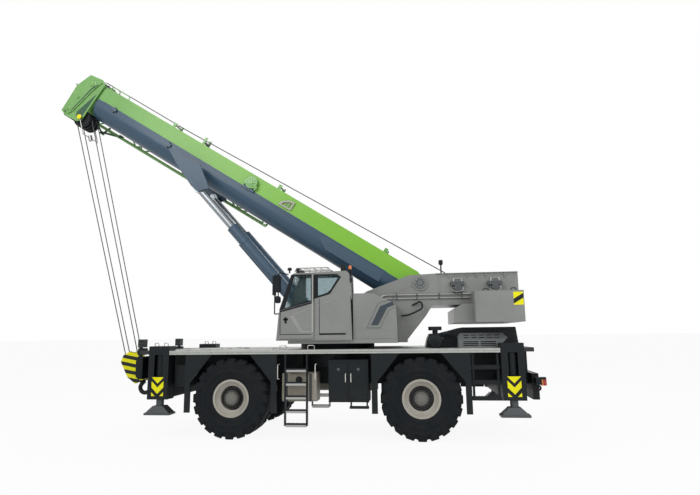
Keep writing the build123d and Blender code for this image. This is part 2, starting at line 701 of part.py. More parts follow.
SILL = TURN_TOP + 60
LINTEL = CAB_TOP - 75
WAIST = TURN_TOP + 700
DOOR_X0 = CAB_FRONT + 95
DOOR_X1 = CAB_FRONT + 900
door_hole = [
    (DOOR_X0, SILL),
    (DOOR_X0 + 50, WAIST - 30),
    (DOOR_X0 + 325, LINTEL),
    (DOOR_X1, LINTEL),
    (DOOR_X1, SILL),
]
quarter = [
    (DOOR_X1 + 60, LINTEL),
    (DOOR_X1 + 570, LINTEL),
    (DOOR_X1 + 670, LINTEL - 75),
    (DOOR_X1 + 410, LINTEL - 460),
    (DOOR_X1 + 75, LINTEL - 560),
]
rake = [
    (CAB_FRONT - 60, WAIST),
    (CAB_FRONT + 170, WAIST),
    (CAB_FRONT + 460, LINTEL),
    (CAB_FRONT + 240, LINTEL),
]
windows = [
    side_plate(quarter, -CAB_OUT - 1, -CAB_OUT + CAB_WALL + 1),
    side_plate(rake, -CAB_OUT + 60, -CAB_IN - 60),
    block(CAB_FRONT + 560, CAB_REAR - 350, -CAB_IN - CAB_WALL - 1, -CAB_IN + 1, WAIST + 40, LINTEL),
    block(CAB_REAR - 150, CAB_REAR + 50, -CAB_OUT + 120, -CAB_IN - 120, WAIST + 150, LINTEL - 60),
    block(CAB_FRONT + 560, CAB_REAR - 520, -CAB_OUT + 120, -CAB_IN - 120, CAB_TOP - 120, CAB_TOP + 50),
]
shell = cab_slab(0) - cab_slab(CAB_WALL)
skin = cab_slab(16) - cab_slab(28)
panes = []
for hole in windows:
    shell = shell - hole
    panes.append(skin & hole)
shell = shell - side_plate(door_hole, -CAB_OUT - 1, -CAB_OUT + CAB_WALL + 1)
RAIL_T = RUN_GAP - SLIDE_GAP
for z in (SILL - 18, LINTEL + 4):
    shell = shell + block(DOOR_X0 + 350, DOOR_X1 + 660, -CAB_OUT - RAIL_T, -CAB_OUT + 5, z, z + 14)
parts["cab_shell"] = shell
parts["cab_glass"] = joined(panes)

LEAF_T = 32
LEAF_Y = -CAB_OUT - RUN_GAP - LEAF_T
LAP = 20
leaf = [
    (DOOR_X0 - LAP, SILL - LAP),
    (DOOR_X0 + 50 - LAP, WAIST - 30),
    (DOOR_X0 + 325 - LAP, LINTEL + LAP),
    (DOOR_X1 + LAP, LINTEL + LAP),
    (DOOR_X1 + LAP, SILL - LAP),
]
door_light = [
    (DOOR_X0 + 110, WAIST + 60),
    (DOOR_X0 + 350, LINTEL - 30),
    (DOOR_X1 - 40, LINTEL - 30),
    (DOOR_X1 - 40, WAIST + 240),
]
door = side_plate(leaf, LEAF_Y, LEAF_Y + LEAF_T)
parts["cab_door"] = door - side_plate(door_light, LEAF_Y - 1, LEAF_Y + LEAF_T + 1)
parts["door_glass"] = side_plate(door_light, LEAF_Y + 10, LEAF_Y + 20)

FLOOR = TURN_TOP + CAB_WALL
CAB_MID = -(CAB_OUT + CAB_IN) / 2
SEAT_X = CAB_FRONT + 1000
interior = fuse(
    block(SEAT_X - 200, SEAT_X + 200, CAB_MID - 170, CAB_MID + 170, FLOOR, FLOOR + 330),
    block(SEAT_X - 270, SEAT_X + 250, CAB_MID - 240, CAB_MID + 240, FLOOR + 320, FLOOR + 450),
    side_plate(
        [
            (SEAT_X + 160, FLOOR + 400),
            (SEAT_X + 270, FLOOR + 400),
            (SEAT_X + 400, FLOOR + 1120),
            (SEAT_X + 300, FLOOR + 1120),
        ],
        CAB_MID - 230,
        CAB_MID + 230,
    ),
)
dash = block(CAB_FRONT + 180, CAB_FRONT + 420, -CAB_OUT + 120, -CAB_IN - 100, FLOOR, FLOOR + 520)
parts["cab_interior"] = joined([interior, dash])
MIRROR_X = CAB_FRONT - 60
mirror_post = bar((MIRROR_X, -CAB_OUT + 60, CAB_TOP - 560), (MIRROR_X, -CAB_OUT + 60, CAB_TOP - 40), 15)
mirror_arm = bar((MIRROR_X, -CAB_OUT + 60, WAIST - 60), (CAB_FRONT + 60, -CAB_OUT + 60, WAIST - 60), 15)
mirror_foot = bar((MIRROR_X, -CAB_OUT + 60, WAIST - 60), (MIRROR_X, -CAB_OUT + 60, CAB_TOP - 540), 15)
mirror_head = block(MIRROR_X - 40, MIRROR_X + 10, -CAB_OUT - 20, -CAB_OUT + 160, CAB_TOP - 550, CAB_TOP - 80)
light_bar = block(CAB_FRONT + 470, CAB_FRONT + 540, -CAB_OUT + 60, -CAB_IN - 60, CAB_TOP - 60, CAB_TOP + 100)
beacon = upright(CAB_REAR - 220, -CAB_OUT + 120, 55, CAB_TOP - 30, CAB_TOP + 150)
fittings = [
    fuse(mirror_post, mirror_arm, mirror_foot, mirror_head) - cab_slab(0),
    light_bar - cab_slab(0),
    beacon - cab_slab(0),
]
parts["cab_fittings"] = joined(fittings)

# Boom sections, each a U-bottomed tube inside the one before


def section(inset, s0, s1):
    half_w = BOOM_W / 2 - inset
    top = BOOM_TOP - inset
    low = -BOOM_LOW + inset
    knee = low + half_w
    outline = [
        Line((-s0, -half_w, knee), (-s0, -half_w, top)),
        Line((-s0, -half_w, top), (-s0, half_w, top)),
        Line((-s0, half_w, top), (-s0, half_w, knee)),
        ThreePointArc((-s0, half_w, knee), (-s0, 0, low), (-s0, -half_w, knee)),
    ]
    return extrude(make_face(Wire(outline)), amount=s1 - s0, dir=(-1, 0, 0))


def tube(number, s0, s1):
    inset = number * SECTION_STEP
    shell = section(inset, s0, s1) - section(inset + BOOM_WALL, s0 - 1, s1 + 1)
    return shell


def collar(number, s1):
    inset = number * SECTION_STEP
    return section(inset, s1 - 200, s1) - section(inset + SECTION_STEP - PIN_GAP, s1 - 201, s1 + 1)


def shoe(number, s0):
    inset = (number - 1) * SECTION_STEP + BOOM_WALL + PIN_GAP
    return section(inset, s0, s0 + 200) - section(inset + SECTION_STEP - PIN_GAP - 2, s0 - 1, s0 + 201)


def boom_plate(points, y0, y1):
    return side_plate([(-s, n) for s, n in points], y0, y1)


def boom_across(s, n, radius, y0, y1):
    return across(-s, n, radius, y0, y1)


FOOT_T = 60
foot_plate = boom_plate(
    [
        (SECTION_START - 40, BOOM_TOP - 20),
        (150, BOOM_TOP - 20),
        (-170, 150),
        (-170, -150),
        (SECTION_START - 40, -450),
    ],
    -BOOM_W / 2,
    -BOOM_W / 2 + FOOT_T,
)
LUG_Y = LUFF_Y + LUFF_ROD_R + 2 * RUN_GAP
luff_lug = boom_plate(
    [
        (LUFF_EYE_S + 1363, LUFF_EYE_N + 510),
        (LUFF_EYE_S + 878, LUFF_EYE_N + 248),
        (LUFF_EYE_S + 172, LUFF_EYE_N - 46),
        (LUFF_EYE_S - 81, LUFF_EYE_N - 88),
        (LUFF_EYE_S - 305, LUFF_EYE_N + 167),
        (LUFF_EYE_S + 295, LUFF_EYE_N + 580),
    ],
    -LUG_Y - 40,
    -LUG_Y,
)
luff_spacer = boom_plate(
    [
        (LUFF_EYE_S + 800, LUFF_EYE_N + 420),
        (LUFF_EYE_S + 1200, LUFF_EYE_N + 450),
        (LUFF_EYE_S + 1200, LUFF_EYE_N + 540),
        (LUFF_EYE_S + 800, LUFF_EYE_N + 540),
    ],
    -LUG_Y - 10,
    -BOOM_W / 2 + 5,
)
boom = fuse(tube(0, 200, BOOM_L), collar(0, BOOM_L))
for shape in (foot_plate, luff_lug, luff_spacer):
    boom = boom + shape + mirrored(shape)
boom = boom + boom_across(0, 0, 220, -BOOM_W / 2, BOOM_W / 2)
boom = boom - boom_across(0, 0, PIVOT_R + PIN_GAP, -BOOM_W, BOOM_W)
parts["boom_base"] = BOOM * boom
for number in (1, 2):
    start = SECTION_START + 60 * (number - 1)
    end = BOOM_L + 60 * number
    middle = fuse(tube(number, start, end), collar(number, end), shoe(number, start))
    parts["boom_mid_" + str(number)] = BOOM * middle

# Tip section with the boom head

HEAD_Y = 300
HEAD_T = 30
HEAD_ROOT = BOOM_L + 170
tip = fuse(tube(3, SECTION_START + 120, HEAD_ROOT + 30), shoe(3, SECTION_START + 120))
bulkhead = block(-HEAD_ROOT - 40, -HEAD_ROOT, -HEAD_Y - 5, HEAD_Y + 5, HEAD_N + SHEAVE_R + 20, BOOM_TOP + 20)
head_side = [
    (HEAD_ROOT, BOOM_TOP + 40),
    (HEAD_S + 80, BOOM_TOP + 120),
    (HEAD_S + 520, BOOM_TOP + 70),
    (HEAD_S + 720, -150),
    (HEAD_S + 680, HEAD_N - 110),
    (HEAD_S + 450, HEAD_N - 180),
    (HEAD_S + 40, HEAD_N - 150),
    (HEAD_S - 80, HEAD_N - 60),
    (HEAD_S - 80, HEAD_N + 150),
    (HEAD_ROOT, -BOOM_LOW + 30),
]
head_plate = boom_plate(head_side, -HEAD_Y - HEAD_T, -HEAD_Y)
tip = fuse(tip, bulkhead, head_plate, mirrored(head_plate))
AXLE_PIN_R = 44
TOP_S = HEAD_S + 270
TOP_N = BOOM_TOP - 130
NOSE_S = HEAD_S + 540
NOSE_N = HEAD_N - 60
sheave_sets = []
for s, n, radius, reach in (
    (HEAD_S, HEAD_N, SHEAVE_R, HEAD_Y + HEAD_T + 70),
    (TOP_S, TOP_N, SHEAVE_R - 30, HEAD_Y + HEAD_T + 10),
    (NOSE_S, NOSE_N, SHEAVE_R - 130, HEAD_Y + HEAD_T + 10),
):
    tip = tip - boom_across(s, n, AXLE_PIN_R, -HEAD_Y - 100, HEAD_Y + 100)
    sheave = boom_across(s, n, AXLE_PIN_R, -reach, reach)
    for y in (-210, -70, 70, 210):
        sheave = sheave + boom_across(s, n, radius, y - 35, y + 35)
    sheave_sets.append(BOOM * sheave)
parts["boom_tip"] = BOOM * tip
parts["head_sheaves"] = joined(sheave_sets)

# Lattice jib stowed along the right side of the boom

CHORD_R = 42
JIB_Y0 = LUFF_Y + LUFF_BARREL_R + CHORD_R + 3 * RUN_GAP
JIB_Y1 = JIB_Y0 + 420
JIB_S0 = 4950
JIB_S1 = BOOM_L + 880
chords = []
ends = {}
for key, y, n0, n1 in (
    ("a", JIB_Y0, -760, -800),
    ("b", JIB_Y0, -330, -150),
    ("c", JIB_Y1, -760, -800),
    ("d", JIB_Y1, -330, -150),
):
    ends[key] = ((-JIB_S0, y, n0), (-JIB_S1, y, n1))
    chords.append(bar(ends[key][0], ends[key][1], CHORD_R))


def along(key, share):
    start, end = ends[key]
    return tuple(a + (b - a) * share for a, b in zip(start, end))


BAYS = 7
web_bars = []
for low, high in (("a", "b"), ("c", "d")):
    for bay in range(BAYS):
        first, second = (low, high) if bay % 2 else (high, low)
        web_bars.append(bar(along(first, bay / BAYS), along(second, (bay + 1) / BAYS), 22))
for near, far in (("a", "c"), ("b", "d")):
    for bay in (0, 2, 4, 7):
        web_bars.append(bar(along(near, bay / BAYS), along(far, bay / BAYS), 24))
for near, far in (("a", "b"), ("c", "d")):
    for bay in (0, 7):
        web_bars.append(bar(along(near, bay / BAYS), along(far, bay / BAYS), 30))
jib = fuse(chords[0], *chords[1:], *web_bars)
for share in (0.32, 0.8):
    s, y, n = along("b", share)
    jib = jib + block(s - 60, s + 60, BOOM_W / 2, y, n - 40, n + 60)
parts["jib"] = BOOM * jib

# Luffing cylinders

EYE_RISE = Vector(*(BOOM * Pos(-LUFF_EYE_S, 0, LUFF_EYE_N)).position)
FOOT = Vector(LUFF_FOOT_X, 0, LUFF_FOOT_Z)
LUFF_DIR = (EYE_RISE - FOOT).normalized()
LUFF_L = (EYE_RISE - FOOT).length
BARREL_L = 3800


def luff_point(length, y):
    place = FOOT + LUFF_DIR * length
    return (place.X, y, place.Z)


barrels = []
rods = []
for y in (-LUFF_Y, LUFF_Y):
    barrel = fuse(
        bar(luff_point(300, y), luff_point(BARREL_L, y), LUFF_BARREL_R),
        across(LUFF_FOOT_X, LUFF_FOOT_Z, 130, y - 75, y + 75),
        bar(luff_point(0, y), luff_point(320, y), 70),
    )
    barrel = barrel - bar(luff_point(350, y), luff_point(BARREL_L + 1, y), LUFF_ROD_R + PIN_GAP)
    barrel = barrel - across(LUFF_FOOT_X, LUFF_FOOT_Z, 60 + PIN_GAP, y - 80, y + 80)
    barrels.append(barrel)
    tip_eye = luff_point(LUFF_L, y)
    rods.append(
        fuse(
            bar(luff_point(LUFF_L - 3580, y), luff_point(LUFF_L - 40, y), LUFF_ROD_R),
            across(tip_eye[0], tip_eye[2], 130, y - 70, y + 70),
        )
    )
parts["luff_barrels"] = joined(barrels)
parts["luff_rods"] = joined(rods)

# Overhoist bail, hook block and hook, hung along the rope falls

HEAD_AXLE = Vector(*(BOOM * Pos(-HEAD_S, 0, HEAD_N)).position)
FALL = Pos(HEAD_AXLE.X, 0, HEAD_AXLE.Z) * Rot(0, -ROPE_SLANT, 0)
BAIL_Y = HEAD_Y + HEAD_T + RUN_GAP
bail = bar((0, -BAIL_Y - 40, -560), (0, BAIL_Y + 40, -560), 14)
bail = bail + upright(0, 0, 60, -640, -480)
for side in (-1, 1):
    y = side * (BAIL_Y + 20)
    bail = bail + across(0, 0, 75, y - 20, y + 20)
    bail = bail + bar((0, y, 0), (0, y, -560), 14)
bail = bail - across(0, 0, AXLE_PIN_R + PIN_GAP, -HEAD_Y - 200, HEAD_Y + 200)
parts["overhoist_bail"] = FALL * bail

BLOCK = FALL * Pos(0, 0, -ROPE_L) * Rot(0, -BLOCK_TILT, 0)
CHEEK_Y = 150
CHEEK_T = 40
CHEEK_X = BLOCK_R + 50
YOKE_LOW = -430
YOKE_H = 100
cheek_edge = [
    (-CHEEK_X + 140, BLOCK_R + 210),
    (CHEEK_X - 140, BLOCK_R + 210),
    (CHEEK_X, BLOCK_R + 80),
    (CHEEK_X, -BLOCK_R + 20),
    (CHEEK_X - 130, YOKE_LOW - 20),
    (-CHEEK_X + 130, YOKE_LOW - 20),
    (-CHEEK_X, -BLOCK_R + 20),
    (-CHEEK_X, BLOCK_R + 80),
]
hook_cheek = side_plate(cheek_edge, -CHEEK_Y - CHEEK_T, -CHEEK_Y)
hook_cheek = fillet(hook_cheek.edges().filter_by(Axis.Y), 30)
SHANK_R = 50
hook_block = fuse(hook_cheek, mirrored(hook_cheek), across(0, 0, SHANK_R, -CHEEK_Y, CHEEK_Y))
for y in (-90, 0, 90):
    hook_block = hook_block + across(0, 0, BLOCK_R, y - 30, y + 30)
yoke = block(-110, 110, -CHEEK_Y - 1, CHEEK_Y + 1, YOKE_LOW, YOKE_LOW + YOKE_H)
hook_block = hook_block + yoke - upright(0, 0, SHANK_R + PIN_GAP, YOKE_LOW - 30, YOKE_LOW + YOKE_H + 10)
parts["hook_block"] = BLOCK * hook_block
HOOK_R = 140
HOOK_T = 55
NECK_H = 60
HOOK_Z = YOKE_LOW - RUN_GAP - NECK_H - HOOK_R
hook = Pos(0, 0, HOOK_Z) * Rot(90, 0, 0) * Rot(0, 0, 90) * Torus(HOOK_R, HOOK_T, major_angle=270)
hook = hook + upright(0, 0, SHANK_R, HOOK_Z + HOOK_R, YOKE_LOW + YOKE_H + 50)
hook = hook + upright(0, 0, SHANK_R + 35, YOKE_LOW + YOKE_H + RUN_GAP, YOKE_LOW + YOKE_H + 55)
hook = hook + upright(0, 0, SHANK_R + 20, HOOK_Z + HOOK_R - 30, YOKE_LOW - RUN_GAP)
hook = hook + Pos(HOOK_R, 0, HOOK_Z) * Sphere(HOOK_T)
parts["hook"] = BLOCK * hook

# Origin below the middle of the whole crane

boxes = [shape.bounding_box() for shape in parts.values()]
ORIGIN = Vector(
    (min(box.min.X for box in boxes) + max(box.max.X for box in boxes)) / 2,
    (min(box.min.Y for box in boxes) + max(box.max.Y for box in boxes)) / 2,
    min(box.min.Z for box in boxes),
)
os.makedirs("parts", exist_ok=True)
for name, shape in parts.items():
    solids = [Pos(-ORIGIN.X, -ORIGIN.Y, -ORIGIN.Z) * solid for solid in shape.solids()]
    export_step(Compound(solids) if len(solids) > 1 else solids[0], "parts/" + name + ".step")
print("origin", ORIGIN.X, ORIGIN.Y, ORIGIN.Z)
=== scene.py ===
import json
import math

import bmesh
import bpy
from mathutils import Matrix, Vector


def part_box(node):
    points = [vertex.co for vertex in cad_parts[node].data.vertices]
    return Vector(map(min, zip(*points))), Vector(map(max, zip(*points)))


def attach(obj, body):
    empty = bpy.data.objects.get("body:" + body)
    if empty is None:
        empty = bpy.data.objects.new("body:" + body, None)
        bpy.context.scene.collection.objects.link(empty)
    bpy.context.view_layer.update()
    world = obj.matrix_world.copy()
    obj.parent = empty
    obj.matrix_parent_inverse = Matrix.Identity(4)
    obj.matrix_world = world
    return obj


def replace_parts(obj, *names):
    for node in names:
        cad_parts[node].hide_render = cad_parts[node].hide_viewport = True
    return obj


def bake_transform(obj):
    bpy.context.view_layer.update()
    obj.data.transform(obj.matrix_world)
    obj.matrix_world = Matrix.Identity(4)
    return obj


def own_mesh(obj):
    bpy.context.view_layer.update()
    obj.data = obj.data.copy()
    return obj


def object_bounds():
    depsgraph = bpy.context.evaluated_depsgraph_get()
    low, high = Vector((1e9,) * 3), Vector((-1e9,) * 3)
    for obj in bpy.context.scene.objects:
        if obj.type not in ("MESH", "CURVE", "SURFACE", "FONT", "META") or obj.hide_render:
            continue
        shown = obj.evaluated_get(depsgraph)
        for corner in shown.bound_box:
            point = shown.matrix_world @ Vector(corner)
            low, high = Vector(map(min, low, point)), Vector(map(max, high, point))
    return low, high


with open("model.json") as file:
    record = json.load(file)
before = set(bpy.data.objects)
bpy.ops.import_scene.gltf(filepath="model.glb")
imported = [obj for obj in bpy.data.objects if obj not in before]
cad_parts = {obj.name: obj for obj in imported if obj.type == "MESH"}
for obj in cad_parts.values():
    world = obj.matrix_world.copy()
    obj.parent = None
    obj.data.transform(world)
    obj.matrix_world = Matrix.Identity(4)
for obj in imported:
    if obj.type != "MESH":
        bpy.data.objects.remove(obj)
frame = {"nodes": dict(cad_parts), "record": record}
CAD_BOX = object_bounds()
NODES = frame["nodes"]
JOINTS = {joint["name"]: joint for joint in frame["record"]["behaviour"]["joints"]}

# Places, in metres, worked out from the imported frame

TYRE_R = 0.9375
CORNERS = ("fl", "fr", "rl", "rr")
SIDES = (-1, 1)


def middle(node):
    """The centre of a node's box at rest."""
    low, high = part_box(node)
    return (Vector(low) + Vector(high)) / 2


FRONT_HUB = middle("tyre_fl")
REAR_HUB = middle("tyre_rl")
MID_X = (FRONT_HUB.x + REAR_HUB.x) / 2
LIFT = FRONT_HUB.z - TYRE_R
PIVOT = Vector(JOINTS["luff"]["pos_m"])
ALONG = Vector(JOINTS["telescope"]["axis"]).normalized()
ACROSS = Vector((0, 1, 0))
LEFT = Vector((0, -1, 0))
UP = Vector((0, 0, 1))
RISE = Vector((ALONG.z, 0, -ALONG.x))
HEAD = Vector(JOINTS["bail_swing"]["pos_m"])
FALL = Vector(JOINTS["hoist"]["axis"]).normalized()
LUFF_FOOT = Vector(JOINTS["luff_barrel_swing"]["pos_m"])
LUFF_DIR = Vector(JOINTS["luff_rod_slide"]["axis"]).normalized()


def at(x, y, z):
    """A place measured from the middle between the axles, on the ground."""
    return Vector((x + MID_X, y, z + LIFT))


def on_boom(s, n, y=0.0):
    """A place s up the boom from its pivot and n above its axis."""
    return PIVOT + ALONG * s + RISE * n + ACROSS * y


def on_luff(length, y):
    """A place up a luffing cylinder from its foot pin."""
    return LUFF_FOOT + LUFF_DIR * length + ACROSS * y


def local_box(node):
    """A node's lowest and highest corners, measured as at() measures."""
    return [Vector(corner) - Vector((MID_X, 0, LIFT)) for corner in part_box(node)]


def span(side, near, far):
    """Two distances from the middle plane, on one side, in rising order."""
    return sorted((side * near, side * far))


def side_of(corner):
    return -1 if corner.endswith("l") else 1


def rect(x0, z0, x1, z1):
    return [(x0, z0), (x1, z0), (x1, z1), (x0, z1)]


DECK_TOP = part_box("deck")[1][2] - LIFT
DECK_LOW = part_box("deck")[0][2] - LIFT
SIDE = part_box("deck")[1][1]
CAB_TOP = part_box("cab_shell")[1][2] - LIFT
RAIL_PROUD = 0.006
CAB_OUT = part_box("cab_shell")[0][1] + RAIL_PROUD
DOOR_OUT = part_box("cab_door")[0][1]
COVER_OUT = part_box("side_covers")[0][1]
JACK_FRONT = middle("jack_fl").x - MID_X
JACK_REAR = middle("jack_rl").x - MID_X
COLOUR_LINE = -0.17
WINCH_X = (3.23, 4.13)
WINCH_Z = 3.48

# Materials


def linear(red, green, blue):
    """A display colour of 0 to 255 as a linear one."""

    def channel(value):
        value = value / 255
        return value / 12.92 if value <= 0.04045 else ((value + 0.055) / 1.055) ** 2.4

    return (channel(red), channel(green), channel(blue), 1.0)


def shade(colour, factor):
    return [c * factor for c in colour[:3]] + [1]


class Graph:
    """Builds one procedural material on object coordinates."""

    def __init__(self, name):
        self.material = bpy.data.materials.new(name)
        self.material.use_nodes = True
        self.tree = self.material.node_tree
        self.shader = self.tree.nodes["Principled BSDF"]
        self.place = self.tree.nodes.new("ShaderNodeTexCoord").outputs["Object"]

    def link(self, value, socket):
        if isinstance(value, bpy.types.NodeSocket):
            self.tree.links.new(value, socket)
        else:
            socket.default_value = value

    def fill(self, node, **inputs):
        """Links or sets a node's inputs by name."""
        for key, value in inputs.items():
            self.link(value, node.inputs[key.replace("_", " ")])
        return node

    def node(self, kind, **inputs):
        return self.fill(self.tree.nodes.new("ShaderNode" + kind), **inputs)

    def set(self, **inputs):
        self.fill(self.shader, **inputs)

    def noise(self, scale, detail=4.0, rough=0.55, vector=None):
        place = vector or self.place
        return self.node("TexNoise", Scale=scale, Detail=detail, Roughness=rough, Vector=place).outputs["Fac"]

    def operate(self, node, kind, first, second):
        node.operation = kind
        self.link(first, node.inputs[0])
        self.link(second, node.inputs[1])
        return node.outputs

    def math(self, kind, first, second=0.0, clamp=False):
        node = self.node("Math")
        node.use_clamp = clamp
        return self.operate(node, kind, first, second)[0]

    def vector_math(self, kind, first, second):
        return self.operate(self.node("VectorMath"), kind, first, second)

    def dot(self, direction, origin=(0, 0, 0)):
        """How far a point lies from the origin along a direction."""
        shift = self.vector_math("SUBTRACT", self.place, origin)[0]
        return self.vector_math("DOT_PRODUCT", shift, direction)["Value"]

    def spread(self, value, low, high, to_low=0.0, to_high=1.0):
        limits = {"From_Min": low, "From_Max": high, "To_Min": to_low, "To_Max": to_high}
        return self.node("MapRange", Value=value, **limits).outputs["Result"]

    def mix(self, share, first, second):
        node = self.node("Mix")
        node.data_type = "RGBA"
        self.link(share, node.inputs["Factor"])
        self.link(first, node.inputs[6])
        self.link(second, node.inputs[7])
        return node.outputs[2]

    def bump(self, height, strength, distance):
        node = self.node("Bump", Strength=strength, Distance=distance, Height=height)
        self.set(Normal=node.outputs["Normal"])


DUST = linear(150, 142, 128)
SHADOW = (0.01, 0.01, 0.01, 1)
PATCH_SCALE, DUST_SCALE, GRAIN_SCALE, PEEL_SCALE = 0.9, 3.1, 38, 160
STREAK_SHARE = 0.2


def weathered(graph, colour, rough, dust_top, dust, mottle=0.10):
    """Paint with soft mottling, and dust that thins out with height."""
    patches = graph.spread(graph.noise(PATCH_SCALE), 0.3, 0.7)
    if isinstance(colour, bpy.types.NodeSocket):
        base = graph.mix(graph.math("MULTIPLY", patches, mottle), colour, SHADOW)
    else:
        base = graph.mix(patches, shade(colour, 1 - mottle), shade(colour, 1 + mottle))
    grain = graph.noise(GRAIN_SCALE, 6)
    height = graph.spread(graph.dot(UP), dust_top, 0.0)
    cover = graph.math("MULTIPLY", height, graph.spread(graph.noise(DUST_SCALE, 7, 0.7), 0.35, 0.75))
    cover = graph.math("MULTIPLY", cover, dust, clamp=True)
    streak = graph.math("MULTIPLY", graph.spread(grain, 0.45, 0.8), dust * STREAK_SHARE)
    tone = graph.mix(graph.math("ADD", cover, streak, clamp=True), base, DUST)
    graph.set(Base_Color=tone, Roughness=graph.spread(grain, 0.2, 0.8, rough - 0.07, rough + 0.1))
    graph.bump(graph.noise(PEEL_SCALE, 2), 0.06, 0.002)


def paint(name, colour, rough=0.42, dust_top=1.2, dust=0.25, sheen=0.5, coat=0.0):
    graph = Graph(name)
    weathered(graph, colour, rough, dust_top, dust)
    graph.set(Specular_IOR_Level=sheen)
    if coat:
        graph.set(Coat_Weight=coat, Coat_Roughness=0.12)
    return graph.material


def bare(name, colour, rough, grain_scale=(4, 60, 60), metallic=1.0):
    """Metal with fine lengthwise brushing."""
    graph = Graph(name)
    stretched = graph.vector_math("MULTIPLY", graph.place, grain_scale)[0]
    grain = graph.noise(3.0, 5, 0.6, stretched)
    graph.set(
        Base_Color=graph.mix(grain, shade(colour, 0.78), colour),
        Roughness=graph.spread(grain, 0.2, 0.8, rough - 0.06, rough + 0.1),
        Metallic=metallic,
    )
    graph.bump(grain, 0.04, 0.001)
    return graph.material


def rubber(name, colour):
    graph = Graph(name)
    grain = graph.noise(90, 4)
    patch = graph.spread(graph.noise(4.0, 6, 0.7), 0.35, 0.75)
    tone = graph.mix(graph.math("MULTIPLY", patch, 0.06), colour, linear(96, 92, 86))
    graph.set(Base_Color=tone, Roughness=graph.spread(grain, 0.2, 0.8, 0.68, 0.9), Specular_IOR_Level=0.18)
    graph.bump(grain, 0.12, 0.003)
    return graph.material


def pane(name, colour, clear):
    graph = Graph(name)
    haze = graph.spread(graph.noise(2.2, 5), 0.3, 0.7, 0.02, 0.07)
    tint = graph.mix(graph.noise(1.3), colour, shade(colour, 1.2))
    graph.set(Base_Color=tint, Roughness=haze, Transmission_Weight=clear, IOR=1.12, Alpha=0.4)
    return graph.material


def lens(name, colour):
    """Clear moulding with fine level ribs."""
    graph = Graph(name)
    ribs = graph.math("SINE", graph.math("MULTIPLY", graph.dot(UP), 420))
    graph.set(
        Base_Color=graph.mix(graph.spread(ribs, -1, 1), shade(colour, 0.8), colour),
        Roughness=graph.spread(graph.noise(30), 0, 1, 0.1, 0.2),
        Coat_Weight=0.6,
    )
    graph.bump(ribs, 0.1, 0.002)
    return graph.material


def banded(name, direction, origin, period, phase, first, second):
    """Two colours in straight bands across a direction."""
    graph = Graph(name)
    keep_positive = 50
    run = graph.math("DIVIDE", graph.dot(direction, origin), period)
    run = graph.math("ADD", run, phase + keep_positive)
    band = graph.math("GREATER_THAN", graph.math("FRACT", run), 0.5)
    weathered(graph, graph.mix(band, first, second), 0.4, 1.2, 0.05)
    graph.set(Specular_IOR_Level=0.3)
    return graph.material


YELLOW = linear(234, 228, 0)
BLACK = linear(19, 25, 28)
GREY = linear(127, 129, 126)
SLATE = linear(54, 79, 99)
GREEN = linear(110, 164, 84)
FOOT_GREEN = linear(132, 194, 58)
HAZED_END_GREEN = linear(112, 164, 92)


def boom_paint(name):
    """Green above a line along the boom, slate below it; the green turns darker and bluer towards the head as
    painted haze.
    """
    graph = Graph(name)
    level = graph.dot(RISE, PIVOT)
    # Painted haze: the green fades from the foot colour to a duller, bluer one towards the head
    along = graph.spread(graph.dot(ALONG, PIVOT), 2.0, 12.0)
    upper = graph.mix(along, FOOT_GREEN, HAZED_END_GREEN)
    above = graph.math("GREATER_THAN", level, COLOUR_LINE)
    weathered(graph, graph.mix(above, SLATE, upper), 0.36, 1.0, 0.1, 0.08)
    graph.set(Coat_Weight=0.08, Coat_Roughness=0.15, Specular_IOR_Level=0.35)
    return graph.material


TREAD_WAVES = 95
DRIP_UP, DRIP_HALF = 0.04, 0.006
DECK_SHINE = 0.55
BLACK_END = 0.1


def deck_plate(name):
    """Aluminium with a tread pattern and a drip line along the edge, painted black past the jacks."""
    graph = Graph(name)
    first = graph.math("SINE", graph.math("MULTIPLY", graph.dot((1, 1, 0)), TREAD_WAVES))
    second = graph.math("SINE", graph.math("MULTIPLY", graph.dot((1, -1, 0)), TREAD_WAVES))
    tread = graph.math("MULTIPLY", first, second)
    line = graph.math("COMPARE", graph.dot(UP), DECK_LOW + LIFT + DRIP_UP)
    line.node.inputs[2].default_value = DRIP_HALF
    grain = graph.noise(12, 6)
    tone = graph.mix(grain, linear(150, 152, 148), linear(188, 190, 186))
    tone = graph.mix(graph.math("MULTIPLY", line, 0.6), tone, linear(90, 92, 90))
    centre = (MID_X + (JACK_FRONT + JACK_REAR) / 2, 0, 0)
    reach = graph.math("ABSOLUTE", graph.dot((1, 0, 0), centre))
    ends = graph.math("GREATER_THAN", reach, (JACK_REAR - JACK_FRONT) / 2 + BLACK_END)
    tone = graph.mix(ends, tone, BLACK)
    metal = graph.math("SUBTRACT", DECK_SHINE, graph.math("MULTIPLY", ends, DECK_SHINE))
    graph.set(Base_Color=tone, Roughness=graph.spread(grain, 0.2, 0.8, 0.36, 0.55), Metallic=metal)
    graph.bump(graph.spread(tread, 0.4, 0.9), 0.25, 0.003)
    return graph.material


